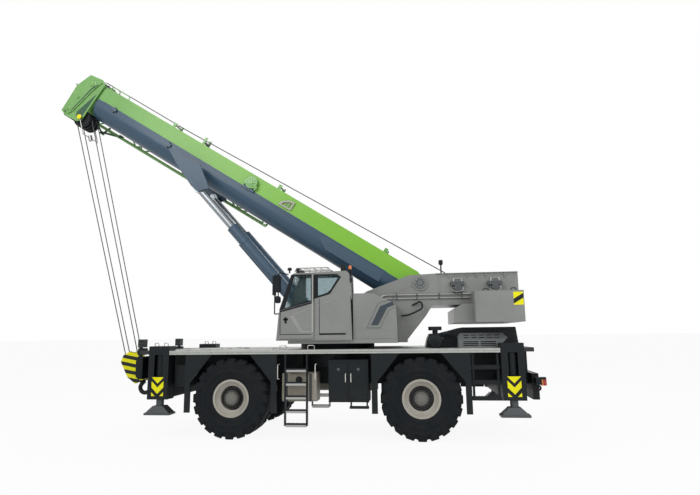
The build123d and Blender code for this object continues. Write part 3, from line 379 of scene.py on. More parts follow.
M = {
    "black": paint("black_paint", BLACK, 0.42, 1.3, 0.09, 0.2),
    "grey": paint("grey_paint", GREY, 0.4, 1.6, 0.1, coat=0.15),
    "panel_grey": paint("panel_grey", linear(98, 102, 102), 0.45, 2.4, 0.06),
    "panel_light": paint("rail_grey", linear(168, 166, 160), 0.38, 1.6, 0.1),
    "stripe": paint("stripe_slate", linear(58, 68, 77), 0.45, 1.6, 0.05, 0.3),
    # A lighter grey for the raised crease strips: painted highlight along the panel folds
    "crease": paint("crease_grey", linear(144, 144, 140), 0.4, 1.6, 0.1),
    # A darker copy of the green paint: painted shade on the boom head and the jib links
    "green_dark": paint("shaded_green", linear(58, 92, 70), 0.5, 1.0, 0.1, 0.3),
    "boom": boom_paint("boom_paint"),
    "green": paint("green_paint", GREEN, 0.36, 1.0, 0.1, coat=0.25),
    "slate": paint("slate_paint", SLATE, 0.4, 1.0, 0.1),
    "deck": deck_plate("deck_plate"),
    "rim": paint("rim_paint", linear(164, 160, 150), 0.4, 1.5, 0.35),
    # Dark paint for the rim's recess as painted shade, also used on the hub bolts
    "rim_dark": paint("rim_shadow_paint", linear(48, 49, 49), 0.55, 1.5, 0.1, 0.3),
    "hub_grey": paint("hub_paint", linear(108, 107, 102), 0.5, 1.5, 0.15, 0.3),
    "tyre": rubber("tyre_rubber", linear(17, 22, 26)),
    "seal": rubber("window_seal", linear(26, 31, 35)),
    "steel": bare("brushed_steel", linear(176, 177, 174), 0.34),
    "chrome": bare("rod_chrome", linear(150, 156, 160), 0.3, (9, 9, 2)),
    "dark_steel": bare("dark_steel", linear(84, 88, 90), 0.45, metallic=0.7),
    "cast": paint("cast_iron", linear(28, 31, 34), 0.6, 1.4, 0.1, 0.2),
    "tank": paint("tank_paint", linear(150, 145, 132), 0.45, 1.4, 0.3),
    "yellow": paint("hazard_yellow", YELLOW, 0.4, 1.0, 0.05, 0.3),
    "glass": pane("cab_glass", linear(78, 112, 118), 0.9),
    "seat": rubber("seat_fabric", linear(40, 42, 46)),
    "white": paint("handle_white", linear(214, 214, 208), 0.4, 1.2, 0.2),
    "lamp": lens("clear_lens", linear(206, 212, 214)),
    "orange": lens("orange_lens", linear(236, 120, 22)),
    "red": lens("red_lens", linear(196, 36, 28)),
    "rope": bare("wire_rope", linear(88, 92, 96), 0.5, (90, 90, 90), 0.6),
    "hook_bands": banded("hook_block_bands", (-0.19, 0, -0.98), tuple(HEAD), 0.19, 0.35, YELLOW, BLACK),
}

FINISH = {
    "black": "carrier_frame fenders engine_hood air_cleaner tool_cabinet cabinet_door_f cabinet_door_r"
    " ladders lamps cab_fittings",
    "cast": "engine tow_eyes slew_ring front_axle rear_axle head_sheaves hook",
    "grey": "turntable_frame counterweight side_covers cab_shell cab_door",
    "glass": "cab_glass door_glass",
    "boom": "boom_base boom_mid_1 boom_mid_2",
    "green": "jib boom_tip",
    "slate": "winches luff_barrels",
    "deck": "deck",
    "panel_grey": "exhaust_guard",
    "tank": "side_tanks",
    "seat": "cab_interior",
    "chrome": "luff_rods",
    "steel": "overhoist_bail",
    "hook_bands": "hook_block",
}
CORNER_FINISH = {"knuckle": "cast", "rim": "rim", "tyre": "tyre", "outrigger": "black", "jack": "dark_steel"}


def coat(node, finish):
    mesh = NODES[node].data
    mesh.materials.clear()
    mesh.materials.append(M[finish])


for finish, nodes in FINISH.items():
    for node in nodes.split():
        coat(node, finish)
for part, finish in CORNER_FINISH.items():
    for corner in CORNERS:
        coat(part + "_" + corner, finish)

# Mesh building

POINT_R = 0.0005
BEND_POINTS = 6
SHARP_ANGLE = math.radians(35)


def add(name, data):
    """A new object in the scene."""
    made = bpy.data.objects.new(name, data)
    bpy.context.scene.collection.objects.link(made)
    return made


def to_data(name, form):
    """A mesh of a finished bmesh."""
    data = bpy.data.meshes.new(name)
    form.to_mesh(data)
    form.free()
    return data


def around(axis):
    """A unit axis and two directions square to it."""
    axis = Vector(axis).normalized()
    side = axis.orthogonal().normalized()
    return axis, side, axis.cross(side)


class Kit:
    """Gathers small shapes into one piece that rides on a body."""

    def __init__(self, name, body, slot):
        self.name = name
        self.body = body
        self.slot = slot
        self.mesh = bmesh.new()
        self.names = []

    def paint(self, faces, finish, smooth=False):
        if finish not in self.names:
            self.names.append(finish)
        for face in faces:
            face.material_index = self.names.index(finish)
            face.smooth = smooth

    def solid(self, corners, loops, finish, bevel):
        verts = [self.mesh.verts.new(corner) for corner in corners]
        faces = [self.mesh.faces.new([verts[i] for i in loop]) for loop in loops]
        self.paint(faces, finish)
        if bevel:
            edges = list(dict.fromkeys(edge for face in faces for edge in face.edges))
            made = bmesh.ops.bevel(
                self.mesh, geom=edges, offset=bevel, segments=2, affect="EDGES", clamp_overlap=True
            )
            self.paint(made["faces"], finish)

    def prism(self, points, depth, finish, bevel):
        """A flat outline swept sideways by depth."""
        low = [Vector(point) for point in points]
        high = [point + ACROSS * depth for point in low]
        count = len(low)
        loops = [list(range(count))[::-1], list(range(count, 2 * count))]
        for i in range(count):
            j = (i + 1) % count
            loops.append([i, j, j + count, i + count])
        self.solid(low + high, loops, finish, bevel)

    def plate(self, outline, y0, y1, finish, bevel=0.003):
        """An outline in X and Z, from y0 to y1."""
        self.prism([at(x, y0, z) for x, z in outline], y1 - y0, finish, bevel)

    def box(self, low, high, finish, bevel=0.006):
        (x0, y0, z0), (x1, y1, z1) = low, high
        self.plate(rect(x0, z0, x1, z1), y0, y1, finish, bevel)

    def boom_plate(self, outline, y0, y1, finish, bevel=0.003):
        """An outline along the boom and above its axis, from y0 to y1."""
        self.prism([on_boom(s, n, y0) for s, n in outline], y1 - y0, finish, bevel)

    def boom_box(self, s0, s1, y0, y1, n0, n1, finish, bevel=0.005):
        self.boom_plate(rect(s0, n0, s1, n1), y0, y1, finish, bevel)

    def bridge(self, rings):
        """Faces between each ring of points and the next."""
        faces = []
        for low, high in zip(rings, rings[1:]):
            for k in range(len(low)):
                j = (k + 1) % len(low)
                faces.append(self.mesh.faces.new([low[k], low[j], high[j], high[k]]))
        return faces

    def lathe(self, origin, axis, profile, finish, sides=28, hollow=False):
        """A profile of (radius, distance) turned about an axis, closed on itself if hollow."""
        axis, side, other = around(axis)
        rings = []
        for radius, distance in profile:
            centre = Vector(origin) + axis * distance
            ring = []
            for k in range(sides):
                turn = 2 * math.pi * k / sides
                spoke = side * math.cos(turn) + other * math.sin(turn)
                ring.append(self.mesh.verts.new(centre + spoke * max(radius, POINT_R)))
            rings.append(ring)
        faces = self.bridge(rings + rings[:1] if hollow else rings)
        if not hollow:
            faces.append(self.mesh.faces.new(rings[0][::-1]))
            faces.append(self.mesh.faces.new(rings[-1]))
        self.paint(faces, finish, True)
        return faces

    def rod(self, start, end, radius, finish, sides=14):
        """A round bar with chamfered ends."""
        length = (end - start).length
        chamfer = min(radius * 0.3, length * 0.2)
        tip = radius - chamfer
        profile = [(tip, 0), (radius, chamfer), (radius, length - chamfer), (tip, length)]
        self.lathe(start, end - start, profile, finish, sides)

    def tube(self, points, radius, finish, sides=10, bend=0.05):
        """A round tube through points, with its corners bent."""
        path = [points[0]]
        for before, corner, after in zip(points, points[1:], points[2:]):
            back, on = before - corner, after - corner
            reach = min(bend, back.length * 0.45, on.length * 0.45)
            first, last = corner + back.normalized() * reach, corner + on.normalized() * reach
            for k in range(BEND_POINTS):
                t = k / (BEND_POINTS - 1)
                path.append(first * (1 - t) ** 2 + corner * 2 * t * (1 - t) + last * t**2)
        path.append(points[-1])
        normal = (path[1] - path[0]).orthogonal().normalized()
        rings = []
        for i, point in enumerate(path):
            ahead = path[min(i + 1, len(path) - 1)] - path[max(i - 1, 0)]
            ahead.normalize()
            normal = (normal - ahead * normal.dot(ahead)).normalized()
            side = ahead.cross(normal)
            ring = []
            for k in range(sides):
                turn = 2 * math.pi * k / sides
                spot = point + normal * radius * math.cos(turn) + side * radius * math.sin(turn)
                ring.append(self.mesh.verts.new(spot))
            rings.append(ring)
        faces = [self.mesh.faces.new(rings[0][::-1]), self.mesh.faces.new(rings[-1])]
        self.paint(faces + self.bridge(rings), finish, True)

    def handle(self, first, last, lift, radius, finish, bend):
        """A bent loop that stands off its two feet by lift."""
        raised = [at(*(a + b for a, b in zip(foot, lift))) for foot in (first, last)]
        self.tube([at(*first), *raised, at(*last)], radius, finish, 10, bend)

    def bolts(self, origin, axis, circle, count, radius, finish, height):
        """A ring of hexagon heads."""
        axis, side, other = around(axis)
        for k in range(count):
            turn = 2 * math.pi * (k + 0.5) / count
            foot = Vector(origin) + (side * math.cos(turn) + other * math.sin(turn)) * circle
            profile = [(radius, 0), (radius, height * 0.75), (radius * 0.8, height)]
            for face in self.lathe(foot, axis, profile, finish, 6):
                face.smooth = False

    def teeth(self, start, pitch, count, size, y0, y1, z):
        """Grip bars across a tread."""
        width, height = size
        for k in range(count):
            x = start + k * pitch
            self.box((x, y0, z), (x + width, y1, z + height), "dark_steel", 0.002)

    def strips(self, face, rows):
        """Thin trim on a left face: outline, stand-off, depth below the face, finish and bevel."""
        for outline, proud, sunk, finish, bevel in rows:
            self.plate(outline, face - proud, face + sunk, finish, bevel)

    def done(self):
        bmesh.ops.recalc_face_normals(self.mesh, faces=self.mesh.faces)
        data = to_data(self.name, self.mesh)
        for finish in self.names:
            data.materials.append(M[finish])
        piece = add(self.name, data)
        data.set_sharp_from_angle(angle=SHARP_ANGLE)
        if self.body:
            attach(piece, self.body)
        return piece


def ring(make, outer, inner, y0, y1, finish):
    """A flat frame between two outlines of equal point count, made by a plate method."""
    count = len(outer)
    for i in range(count):
        j = (i + 1) % count
        make([outer[i], outer[j], inner[j], inner[i]], y0, y1, finish, 0)


# Wheels

LUG_COUNT = 20
TREAD_R = 0.907
HUB_FACE = 0.262
RIM_FACE = 0.095
# Radius and half width, from the bead over the moulded rings to the tread
CARCASS = [
    (0.425, 0.255), (0.445, 0.30), (0.47, 0.318), (0.50, 0.322), (0.515, 0.334), (0.53, 0.336),
    (0.545, 0.330), (0.62, 0.352), (0.632, 0.361), (0.645, 0.361), (0.655, 0.356), (0.70, 0.362),
    (0.745, 0.362), (0.757, 0.370), (0.772, 0.370), (0.785, 0.362), (0.845, 0.338), (0.888, 0.285),
    (0.902, 0.20), (0.906, 0.10),
]
# A lug's sections: radius and width of its foot, then of its crest, its lag and its half pitch
LUG_SECTIONS = [
    (0.755, 0.365, 0.775, 0.373, 0.0, 0.36),
    (0.84, 0.328, 0.89, 0.358, 0.0, 0.39),
    (0.868, 0.27, TYRE_R - 0.004, 0.315, 0.02, 0.38),
    (0.872, 0.19, TYRE_R, 0.19, 0.08, 0.30),
    (0.874, 0.02, TYRE_R - 0.003, 0.03, 0.30, 0.22),
]
CREST_SHARE = 0.86
HUB_DISC = [
    (0.148, -0.004), (0.148, 0.003), (0.105, 0.004), (0.1, 0.012), (0.085, 0.016), (0.03, 0.02), (0, 0.02),
]
# A dark ring on the rim face and a dark sleeve over the hub's side wall: painted shade in the rim's recess
RIM_SHADE = [(0.198, RIM_FACE), (0.198, 0.0985), (0.283, 0.0985), (0.283, RIM_FACE)]
HUB_SHADE_SLEEVE = [(0.19, 0.1), (0.198, 0.1), (0.188, 0.2445), (0.151, 0.2655), (0.145, 0.26)]
RIM_BEADS = ((0.318, 0.224), (0.345, 0.242), (0.372, 0.259))


def tyre(corner):
    """One bias-ply tyre: a turned carcass with moulded rings and staggered shoulder lugs."""
    kit = Kit("tread_" + corner, "wheel_" + corner, "tyre")
    hub = middle("tyre_" + corner)
    one_side = [(radius, -width) for radius, width in CARCASS]
    other_side = [(radius, width) for radius, width in reversed(CARCASS)]
    kit.lathe(hub, ACROSS, one_side + [(TREAD_R, 0.0)] + other_side, "tyre", 96, True)
    for side in SIDES:
        stagger = 0.5 if side > 0 else 0.0
        for k in range(LUG_COUNT):
            lug(kit, hub, side, 2 * math.pi * (k + stagger) / LUG_COUNT)
    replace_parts(kit.done(), "tyre_" + corner)


def lug(kit, hub, side, turn):
    """A lug from the shoulder towards the middle of the tread, slanted back."""
    step = 2 * math.pi / LUG_COUNT

    def spot(radius, width, lag):
        angle = turn + lag * step
        return hub + Vector((radius * math.sin(angle), side * width, radius * math.cos(angle)))

    corners = []
    for low, foot, high, crest, lag, half in LUG_SECTIONS:
        corners += [
            spot(low, foot, lag - half), spot(high, crest, lag - half * CREST_SHARE),
            spot(high, crest, lag + half * CREST_SHARE), spot(low, foot, lag + half),
        ]
    loops = [[0, 1, 2, 3], [len(corners) - k for k in (1, 2, 3, 4)]]
    for i in range(len(LUG_SECTIONS) - 1):
        for k in range(4):
            a, b = 4 * i + k, 4 * i + (k + 1) % 4
            loops.append([a, a + 4, b + 4, b])
    kit.solid(corners, loops, "tyre", 0.008)


def wheel_face(corner):
    """Hub disc, a dark sleeve and a dark ring in the rim's recess as painted shade, two rings of bolts, and
    the rim's rolled beads.
    """
    hub = middle("tyre_" + corner)
    axis = Vector((0, side_of(corner), 0))
    kit = Kit("hub_bolts_" + corner, "wheel_" + corner, "rim_paint")
    kit.bolts(hub + axis * HUB_FACE, axis, 0.126, 12, 0.011, "rim_dark", 0.014)
    kit.bolts(hub + axis * RIM_FACE, axis, 0.24, 20, 0.017, "dark_steel", 0.03)
    kit.lathe(hub + axis * HUB_FACE, axis, HUB_DISC, "hub_grey", 48)
    kit.lathe(hub, axis, RIM_SHADE, "rim_dark", 64, True)
    kit.lathe(hub, axis, HUB_SHADE_SLEEVE, "rim_dark", 64, True)
    for radius, width in RIM_BEADS:
        bead = [
            (radius - 0.008, width - 0.004), (radius - 0.004, width + 0.007),
            (radius + 0.004, width + 0.009), (radius + 0.008, width - 0.004),
        ]
        kit.lathe(hub, axis, bead, "rim", 64, True)
    kit.done()


for corner in CORNERS:
    tyre(corner)
    wheel_face(corner)

# Hoist rope: four falls, and the line over the boom's back to the winch

ROPE_R = 0.014
FALL_LENGTH = (middle("hook_block") - HEAD).dot(FALL)
FALL_SIDE = Vector((FALL.z, 0, -FALL.x))
FALL_Y, FALL_FLARE = 0.11, 1.3
HEAD_REACH, BLOCK_REACH = 0.235, 0.17
kit = Kit("rope_falls", None, "steel")
for side in SIDES:
    for y in (-FALL_Y, FALL_Y):
        top = HEAD + FALL_SIDE * side * HEAD_REACH + ACROSS * y * FALL_FLARE
        foot = HEAD + FALL * FALL_LENGTH + FALL_SIDE * side * BLOCK_REACH + ACROSS * y
        kit.tube([top, foot], ROPE_R, "rope")
falls = kit.done()
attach(falls, "overhoist_bail")
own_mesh(falls)

ROPE_N = 0.40
HEAD_S = (HEAD - PIVOT).dot(ALONG)
ROLLER_S = 8.2
SECTIONS = ("boom", "boom_second", "boom_third", "boom_tip")
SECTION_ENDS = (10.96, 11.09, 11.22, 11.35)
LEAD_OFF = on_boom(0.3, 0.62)
ON_DRUM = at(WINCH_X[0], 0, 3.83)
kit = Kit("rope_head_run", "boom_tip", "steel")
over_head = [on_boom(HEAD_S - 0.15, -0.62), on_boom(HEAD_S - 0.45, ROPE_N), on_boom(SECTION_ENDS[-1], ROPE_N)]
kit.tube(over_head, ROPE_R, "rope", 10, 0.2)
kit.done()
for i in (2, 1, 0):
    low, high = SECTIONS[i : i + 2]
    start, end = SECTION_ENDS[i : i + 2]
    kit = Kit("rope_step_" + low, None, "steel")
    kit.tube([on_boom(start + (end - start) * k / 6, ROPE_N) for k in range(7)], ROPE_R, "rope", 10, 0.001)
    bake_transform(kit.done())
kit = Kit("rope_back_run", "boom", "steel")
kit.tube([on_boom(SECTION_ENDS[0], ROPE_N), on_boom(ROLLER_S, ROPE_N), LEAD_OFF], ROPE_R, "rope", 10, 0.2)
kit.done()
kit = Kit("rope_to_winch", None, "steel")
kit.tube([LEAD_OFF.lerp(ON_DRUM, k / 24) for k in range(25)], ROPE_R, "rope", 10, 0.001)
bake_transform(kit.done())

# Carrier: deck rails, ladder treads, straps, handles, lenses

kit = Kit("deck_rails", "carrier", "steel")
for side in SIDES:
    y = side * (SIDE - 0.05)
    for x0, x1 in ((-1.06, -0.9), (-0.38, -0.22)):
        kit.handle((x0, y, DECK_TOP), (x1, y, DECK_TOP), (0, 0, 0.1), 0.011, "steel", 0.04)
LADDER_LOW, LADDER_HIGH = local_box("ladders")
TREAD_PITCH, TREAD_COUNT = 0.31, 5
TREAD_TOP = 0.045
for side in SIDES:
    y0, y1 = span(side, SIDE - 0.135, SIDE - 0.012)
    for step in range(TREAD_COUNT):
        z = LADDER_LOW.z + TREAD_PITCH * step
        kit.box((LADDER_LOW.x + 0.03, y0, z - 0.03), (LADDER_HIGH.x - 0.03, y1, z + TREAD_TOP), "steel")
        kit.teeth(LADDER_LOW.x + 0.07, 0.05, 9, (0.014, 0.008), y0 + 0.01, y1 - 0.01, z + TREAD_TOP)
    y = side * (SIDE - 0.09)
    for x in (LADDER_LOW.x + 0.012, LADDER_HIGH.x - 0.012):
        kit.tube([at(x, y, 0.95), at(x, y, LADDER_LOW.z + 0.03)], 0.012, "steel")
kit.done()

TANK_OUT = -1.475
TANK_CAP = [(0.075, 0), (0.075, 0.03), (0.055, 0.045), (0.05, 0.06), (0, 0.06)]
STIRRUP_OUT = -1.64
GRAB_FOOT, GRAB_TOP, GRAB_LOW = 1.45, 1.72, 1.38
kit = Kit("carrier_handles", "carrier", "steel")
for side in SIDES:
    foot = side * GRAB_FOOT
    stand_off = (0, side * (SIDE - 0.03) - foot, 0)
    for x in (-0.2, -1.1):
        kit.handle((x, foot, GRAB_TOP), (x, foot, GRAB_LOW), stand_off, 0.011, "white", 0.05)
for x in (-0.92, -0.34):
    kit.box((x - 0.03, TANK_OUT - 0.012, 0.86), (x + 0.03, TANK_OUT + 0.01, 1.5), "dark_steel", 0.004)
kit.lathe(at(-0.62, TANK_OUT + 0.005, 1.36), LEFT, TANK_CAP, "black")
kit.box((0.6, STIRRUP_OUT, 0.72), (1.05, STIRRUP_OUT + 0.07, 0.78), "black", 0.008)
for x in (0.62, 0.99):
    kit.box((x, STIRRUP_OUT + 0.01, 0.72), (x + 0.035, STIRRUP_OUT + 0.06, 0.9), "black", 0.004)
kit.done()

STEP_Z = (1.65, 1.32, 0.97)
FRAME_SIDE = 0.44
kit = Kit("cabinet_trim", "carrier", "black_paint")
for side in SIDES:
    y0, y1 = span(side, 1.62, 1.52)
    for z in STEP_Z:
        kit.box((3.38, y0, z - 0.06), (4.02, y1, z + 0.03), "black", 0.008)
        kit.teeth(3.42, 0.058, 10, (0.016, 0.007), y0 + 0.008, y1 - 0.008, z + 0.03)
    y2, y3 = span(side, 1.54, FRAME_SIDE)
    for x in (3.40, 3.95):
        kit.box((x, y0 + 0.02, 0.93), (x + 0.05, y1 - 0.02, DECK_LOW), "black")
        kit.box((x, y2, 1.5), (x + 0.05, y3, 1.6), "black")
    y2, y3 = span(side, 1.45, FRAME_SIDE)
    kit.box((-3.74, y2, 1.18), (-3.45, y3, 1.72), "black", 0.012)
kit.done()

DOOR_LOCK = [(0.035, 0), (0.035, 0.006), (0.02, 0.012), (0, 0.012)]
for name, body, x0, x1 in (("f", "front", 0.11, 0.572), ("r", "rear", 0.578, 1.04)):
    kit = Kit("cabinet_handle_" + name, "cabinet_door_" + body, "steel")
    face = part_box("cabinet_door_" + name)[0][1]
    kit.box((x0 + 0.03, face - 0.004, 0.92), (x1 - 0.03, face + 0.002, 1.76), "black", 0.003)
    grip = x1 - 0.06 if name == "f" else x0 + 0.06
    kit.handle((grip, face, 1.5), (grip, face, 1.32), (0, -0.035, 0), 0.01, "white", 0.02)
    kit.lathe(at((x0 + x1) / 2, face - 0.003, 1.6), LEFT, DOOR_LOCK, "dark_steel", 20)
    kit.done()

kit = Kit("lamp_lenses", "carrier", "lamp")
for side in SIDES:
    y0, y1 = span(side, 1.152, 0.948)
    kit.box((-4.902, y0, 1.95), (-4.72, y1, 2.12), "black", 0.015)
    for k in range(5):
        z = 2.155 + k * 0.038
        kit.box((-4.9, y0 - 0.003, z), (-4.745, y1 + 0.003, z + 0.012), "dark_steel", 0.003)
    y0, y1 = span(side, 1.13, 0.97)
    kit.box((-4.915, y0, 2.165), (-4.895, y1, 2.315), "lamp", 0.008)
    y0, y1 = span(side, 1.153, 0.998)
    kit.box((5.05, y0, 1.19), (5.113, y1, 1.335), "red", 0.008)
    kit.box((5.0, y0, 1.19), (5.05, y1, 1.335), "orange", 0.008)
kit.done()

# Outriggers: hazard chevrons, lifting loops, float handles

PANEL_LOW, PANEL_HIGH, PANEL_HALF = 1.0, 1.44, 0.15
CHEVRONS = ((1.29, 1.6), (1.05, 1.2), (0.8, 0.94))
FLOAT_Y = 1.5


def clipped(points, low, high):
    """A convex outline of (x, z) points kept between two heights."""
    for level, keep in ((low, 1), (high, -1)):
        kept = []
        for (x0, z0), (x1, z1) in zip(points, points[1:] + points[:1]):
            in0, in1 = keep * (z0 - level) >= 0, keep * (z1 - level) >= 0
            if in0:
                kept.append((x0, z0))
            if in0 != in1:
                share = (level - z0) / (z1 - z0)
                kept.append((x0 + share * (x1 - x0), level))
        points = kept
        if len(points) < 3:
            return []
    return points


def outrigger_dress(corner):
    """The hazard sign and loops of a jack box, and the handles of its float."""
    side = side_of(corner)
    low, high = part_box("outrigger_" + corner)
    x = (low[0] + high[0]) / 2 - MID_X
    kit = Kit("jack_box_signs_" + corner, "outrigger_" + corner, "black_paint")
    y0, y1 = span(side, SIDE + 0.0006, SIDE - 0.003)
    kit.box((x - PANEL_HALF, y0, PANEL_LOW), (x + PANEL_HALF, y1, PANEL_HIGH), "black", 0)
    y0, y1 = span(side, SIDE + 0.0014, SIDE)
    for c0, c1 in CHEVRONS:
        for way in SIDES:
            edge = way * PANEL_HALF
            outline = [(0, c0), (edge, c0 + PANEL_HALF), (edge, c1 + PANEL_HALF), (0, c1)]
            outline = clipped(outline, PANEL_LOW, PANEL_HIGH)
            if outline:
                kit.plate([(x + u, z) for u, z in outline], y0, y1, "yellow", 0)
    if corner.startswith("f"):
        y, foot = side * (SIDE - 0.12), high[2] - LIFT - 0.005
        for shift in (-0.12, 0.12):
            first, last = (x + shift - 0.05, y, foot), (x + shift + 0.05, y, foot)
            kit.handle(first, last, (0, 0, 0.08), 0.011, "steel", 0.04)
    kit.done()
    kit = Kit("float_handles_" + corner, "jack_" + corner, "cast")
    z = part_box("jack_" + corner)[0][2] - LIFT + 0.05
    for way in SIDES:
        ends = [(x + way * 0.2, side * FLOAT_Y + shift, z) for shift in (-0.08, 0.08)]
        kit.handle(*ends, (way * 0.105, 0, 0.005), 0.012, "cast", 0.04)
    kit.done()


for corner in CORNERS:
    outrigger_dress(corner)

# Cab: window seals, handle, rails, roof rack, beacon, mirrors

DOOR_FRAME = [(-1.072, 2.99), (-0.78, 3.845), (-0.235, 3.845), (-0.235, 3.2)]
DOOR_LIGHT = [(-0.94, 3.042), (-0.703, 3.803), (-0.296, 3.803), (-0.296, 3.22)]
# A raised crease strip in the lighter grey: a real fold with a painted highlight
DOOR_CREASE = [(-0.82, 2.86), (-0.7, 2.86), (-0.5, 2.5), (-0.29, 2.5), (-0.29, 2.46), (-0.56, 2.46)]
DOOR_STRIPS = (
    ([(-1.06, 2.94), (-0.245, 3.15), (-0.245, 3.19), (-1.06, 2.98)], 0.004, 0.001, "seal", 0),
    (DOOR_CREASE, 0.005, 0.001, "crease", 0.002),
    (rect(-0.97, 2.75, -0.85, 2.8), 0.006, 0, "seal", 0.003),
    (rect(-0.935, 2.68, -0.885, 2.83), 0.006, 0, "seal", 0.003),
    ([(-0.76, 2.87), (-0.29, 3.03), (-0.29, 3.055), (-0.76, 2.89)], 0.004, 0.001, "crease", 0.0015),
    (rect(-0.275, 2.47, -0.243, 3.84), 0.006, 0, "panel_light", 0.002),
    (rect(-1.06, 2.33, -0.245, 2.41), 0.004, 0.001, "grey", 0.0015),
    (rect(-1.05, 2.413, -0.29, 2.427), 0.003, 0.001, "seal", 0.001),
    (rect(-1.05, 2.42, -1.036, 2.93), 0.003, 0.001, "seal", 0.001),
)
kit = Kit("door_trim", "cab_door", "black_paint")
ring(kit.plate, DOOR_FRAME, DOOR_LIGHT, DOOR_OUT - 0.005, DOOR_OUT + 0.001, "seal")
kit.strips(DOOR_OUT, DOOR_STRIPS)
kit.done()

QUARTER = [(-0.228, 3.845), (0.318, 3.845), (0.43, 3.768), (0.16, 3.365), (-0.228, 3.252)]
QUARTER_LIGHT = [(-0.135, 3.805), (0.302, 3.805), (0.362, 3.76), (0.135, 3.41), (-0.13, 3.325)]
CAB_STRIPS = (
    (rect(-0.105, 2.40, 0.53, 2.44), 0.0045, 0, "seal", 0.001),
    (rect(-0.105, 2.44, -0.093, 3.25), 0.004, 0, "seal", 0.001),
    (rect(-0.24, 2.29, 0.675, 2.39), 0.004, 0, "grey", 0.0015),
    # A raised crease strip in the lighter grey: a real fold with a painted highlight
    ([(-0.2, 3.06), (0.34, 3.28), (0.34, 3.295), (-0.2, 3.085)], 0.004, 0, "crease", 0.0015),
)
RACK_Z = CAB_TOP + 0.1
RACK_Y = (-1.55, -0.9)
ROOF_VENT = [(0.02, 0), (0.02, 0.06), (0.05, 0.07), (0.058, 0.11), (0.03, 0.135), (0, 0.14)]
BEACON = [(0.045, 0), (0.045, 0.015), (0.038, 0.02), (0.036, 0.075), (0.02, 0.095), (0, 0.096)]
MIRROR_Y = -1.6
kit = Kit("cab_trim", "turntable", "black_paint")
ring(kit.plate, QUARTER, QUARTER_LIGHT, CAB_OUT - 0.0045, CAB_OUT + 0.02, "seal")
kit.strips(CAB_OUT, CAB_STRIPS)
for y in RACK_Y:
    rail = [at(-0.72, y, CAB_TOP), at(-0.68, y, RACK_Z), at(0.12, y, RACK_Z), at(0.16, y, CAB_TOP)]
    kit.tube(rail, 0.014, "steel")
    kit.tube([at(-0.7, y, CAB_TOP + 0.05), at(0.14, y, CAB_TOP + 0.05)], 0.009, "steel")
    for k in range(6):
        x = -0.62 + k * 0.14
        kit.tube([at(x, y, CAB_TOP), at(x, y, RACK_Z)], 0.008, "steel")
for k in range(5):
    x = -0.64 + k * 0.18
    kit.tube([at(x, y, RACK_Z) for y in RACK_Y], 0.008, "steel")
kit.lathe(at(-0.86, -1.5, CAB_TOP - 0.01), UP, ROOF_VENT, "black")
kit.box((0.6, -1.5, CAB_TOP - 0.12), (0.66, -1.44, CAB_TOP + 0.05), "black")
kit.lathe(at(0.63, -1.47, CAB_TOP + 0.05), UP, BEACON, "orange")
mirror_arm = [at(-0.86, MIRROR_Y, 3.86), at(-1.1, MIRROR_Y, 3.92), at(-1.12, MIRROR_Y, 3.2)]
kit.tube(mirror_arm, 0.014, "black", 10, 0.06)
for low, high in ((3.43, 3.85), (3.17, 3.34)):
    mirror = [
        (-1.2, low + 0.03), (-1.17, low), (-1.08, low), (-1.06, low + 0.03),
        (-1.06, high - 0.03), (-1.09, high), (-1.18, high), (-1.2, high - 0.03),
    ]
    kit.plate(mirror, MIRROR_Y - 0.06, MIRROR_Y + 0.06, "seal", 0.012)
kit.done()

# Covers, turntable, hydraulics, floodlight

VENT = [(1.119, 2.61), (1.284, 2.61), (1.511, 3.018), (1.69, 3.081), (1.637, 3.162), (1.347, 3.055)]
VENT_LOW, VENT_SLOPE = 2.61, 0.51
COVER_RECESS = [(1.03, 2.54), (1.34, 2.54), (1.56, 2.96), (1.75, 3.02), (1.66, 3.22), (1.30, 3.11)]
COVER_SILL = [(0.74, 2.3), (1.72, 2.3), (1.7, 2.47), (1.03, 2.52), (0.74, 2.52)]
kit = Kit("cover_trim", "turntable", "grey_paint")
for side in SIDES:
    kit.plate(VENT, *span(side, -COVER_OUT + 0.004, -COVER_OUT - 0.004), "stripe", 0.002)
    y0, y1 = span(side, -COVER_OUT + 0.012, -COVER_OUT)
    for k in range(6):
        z = 2.66 + k * 0.06
        x = 1.14 + (z - VENT_LOW) * VENT_SLOPE
        slat = [(x, z), (x + 0.17, z), (x + 0.176, z + 0.014), (x + 0.006, z + 0.014)]
        kit.plate(slat, y0, y1, "dark_steel", 0.002)
outer = [(x - 0.015, z) for x, z in COVER_RECESS]
inner = [(x + 0.01, z + 0.02) for x, z in COVER_RECESS]
ring(kit.plate, outer, inner, COVER_OUT - 0.006, COVER_OUT + 0.002, "panel_grey")
kit.plate(COVER_SILL, COVER_OUT - 0.01, COVER_OUT, "grey", 0.004)
kit.done()

CHEEK = -0.80
BOSS = PIVOT - ACROSS * 0.84
PIVOT_CAP = [
    (0.15, 0), (0.15, 0.016), (0.135, 0.024), (0.1, 0.024), (0.095, 0.012), (0.075, 0.012), (0.07, 0.04),
    (0, 0.042),
]
WINCH_MOTOR = [(0.14, 0), (0.14, 0.03), (0.11, 0.035), (0.1, 0.12), (0.07, 0.13), (0.07, 0.17), (0, 0.17)]
CHEEK_RIBS = (
    [(1.55, 3.36), (2.2, 3.62), (2.2, 3.66), (1.5, 3.40)],
    [(2.76, 3.12), (2.80, 3.12), (2.80, 3.86), (2.76, 3.86)],
    [(2.82, 3.8), (4.66, 3.82), (4.66, 3.85), (2.82, 3.83)],
    [(1.88, 2.3), (1.95, 2.3), (2.55, 3.06), (2.5, 3.1)],
)
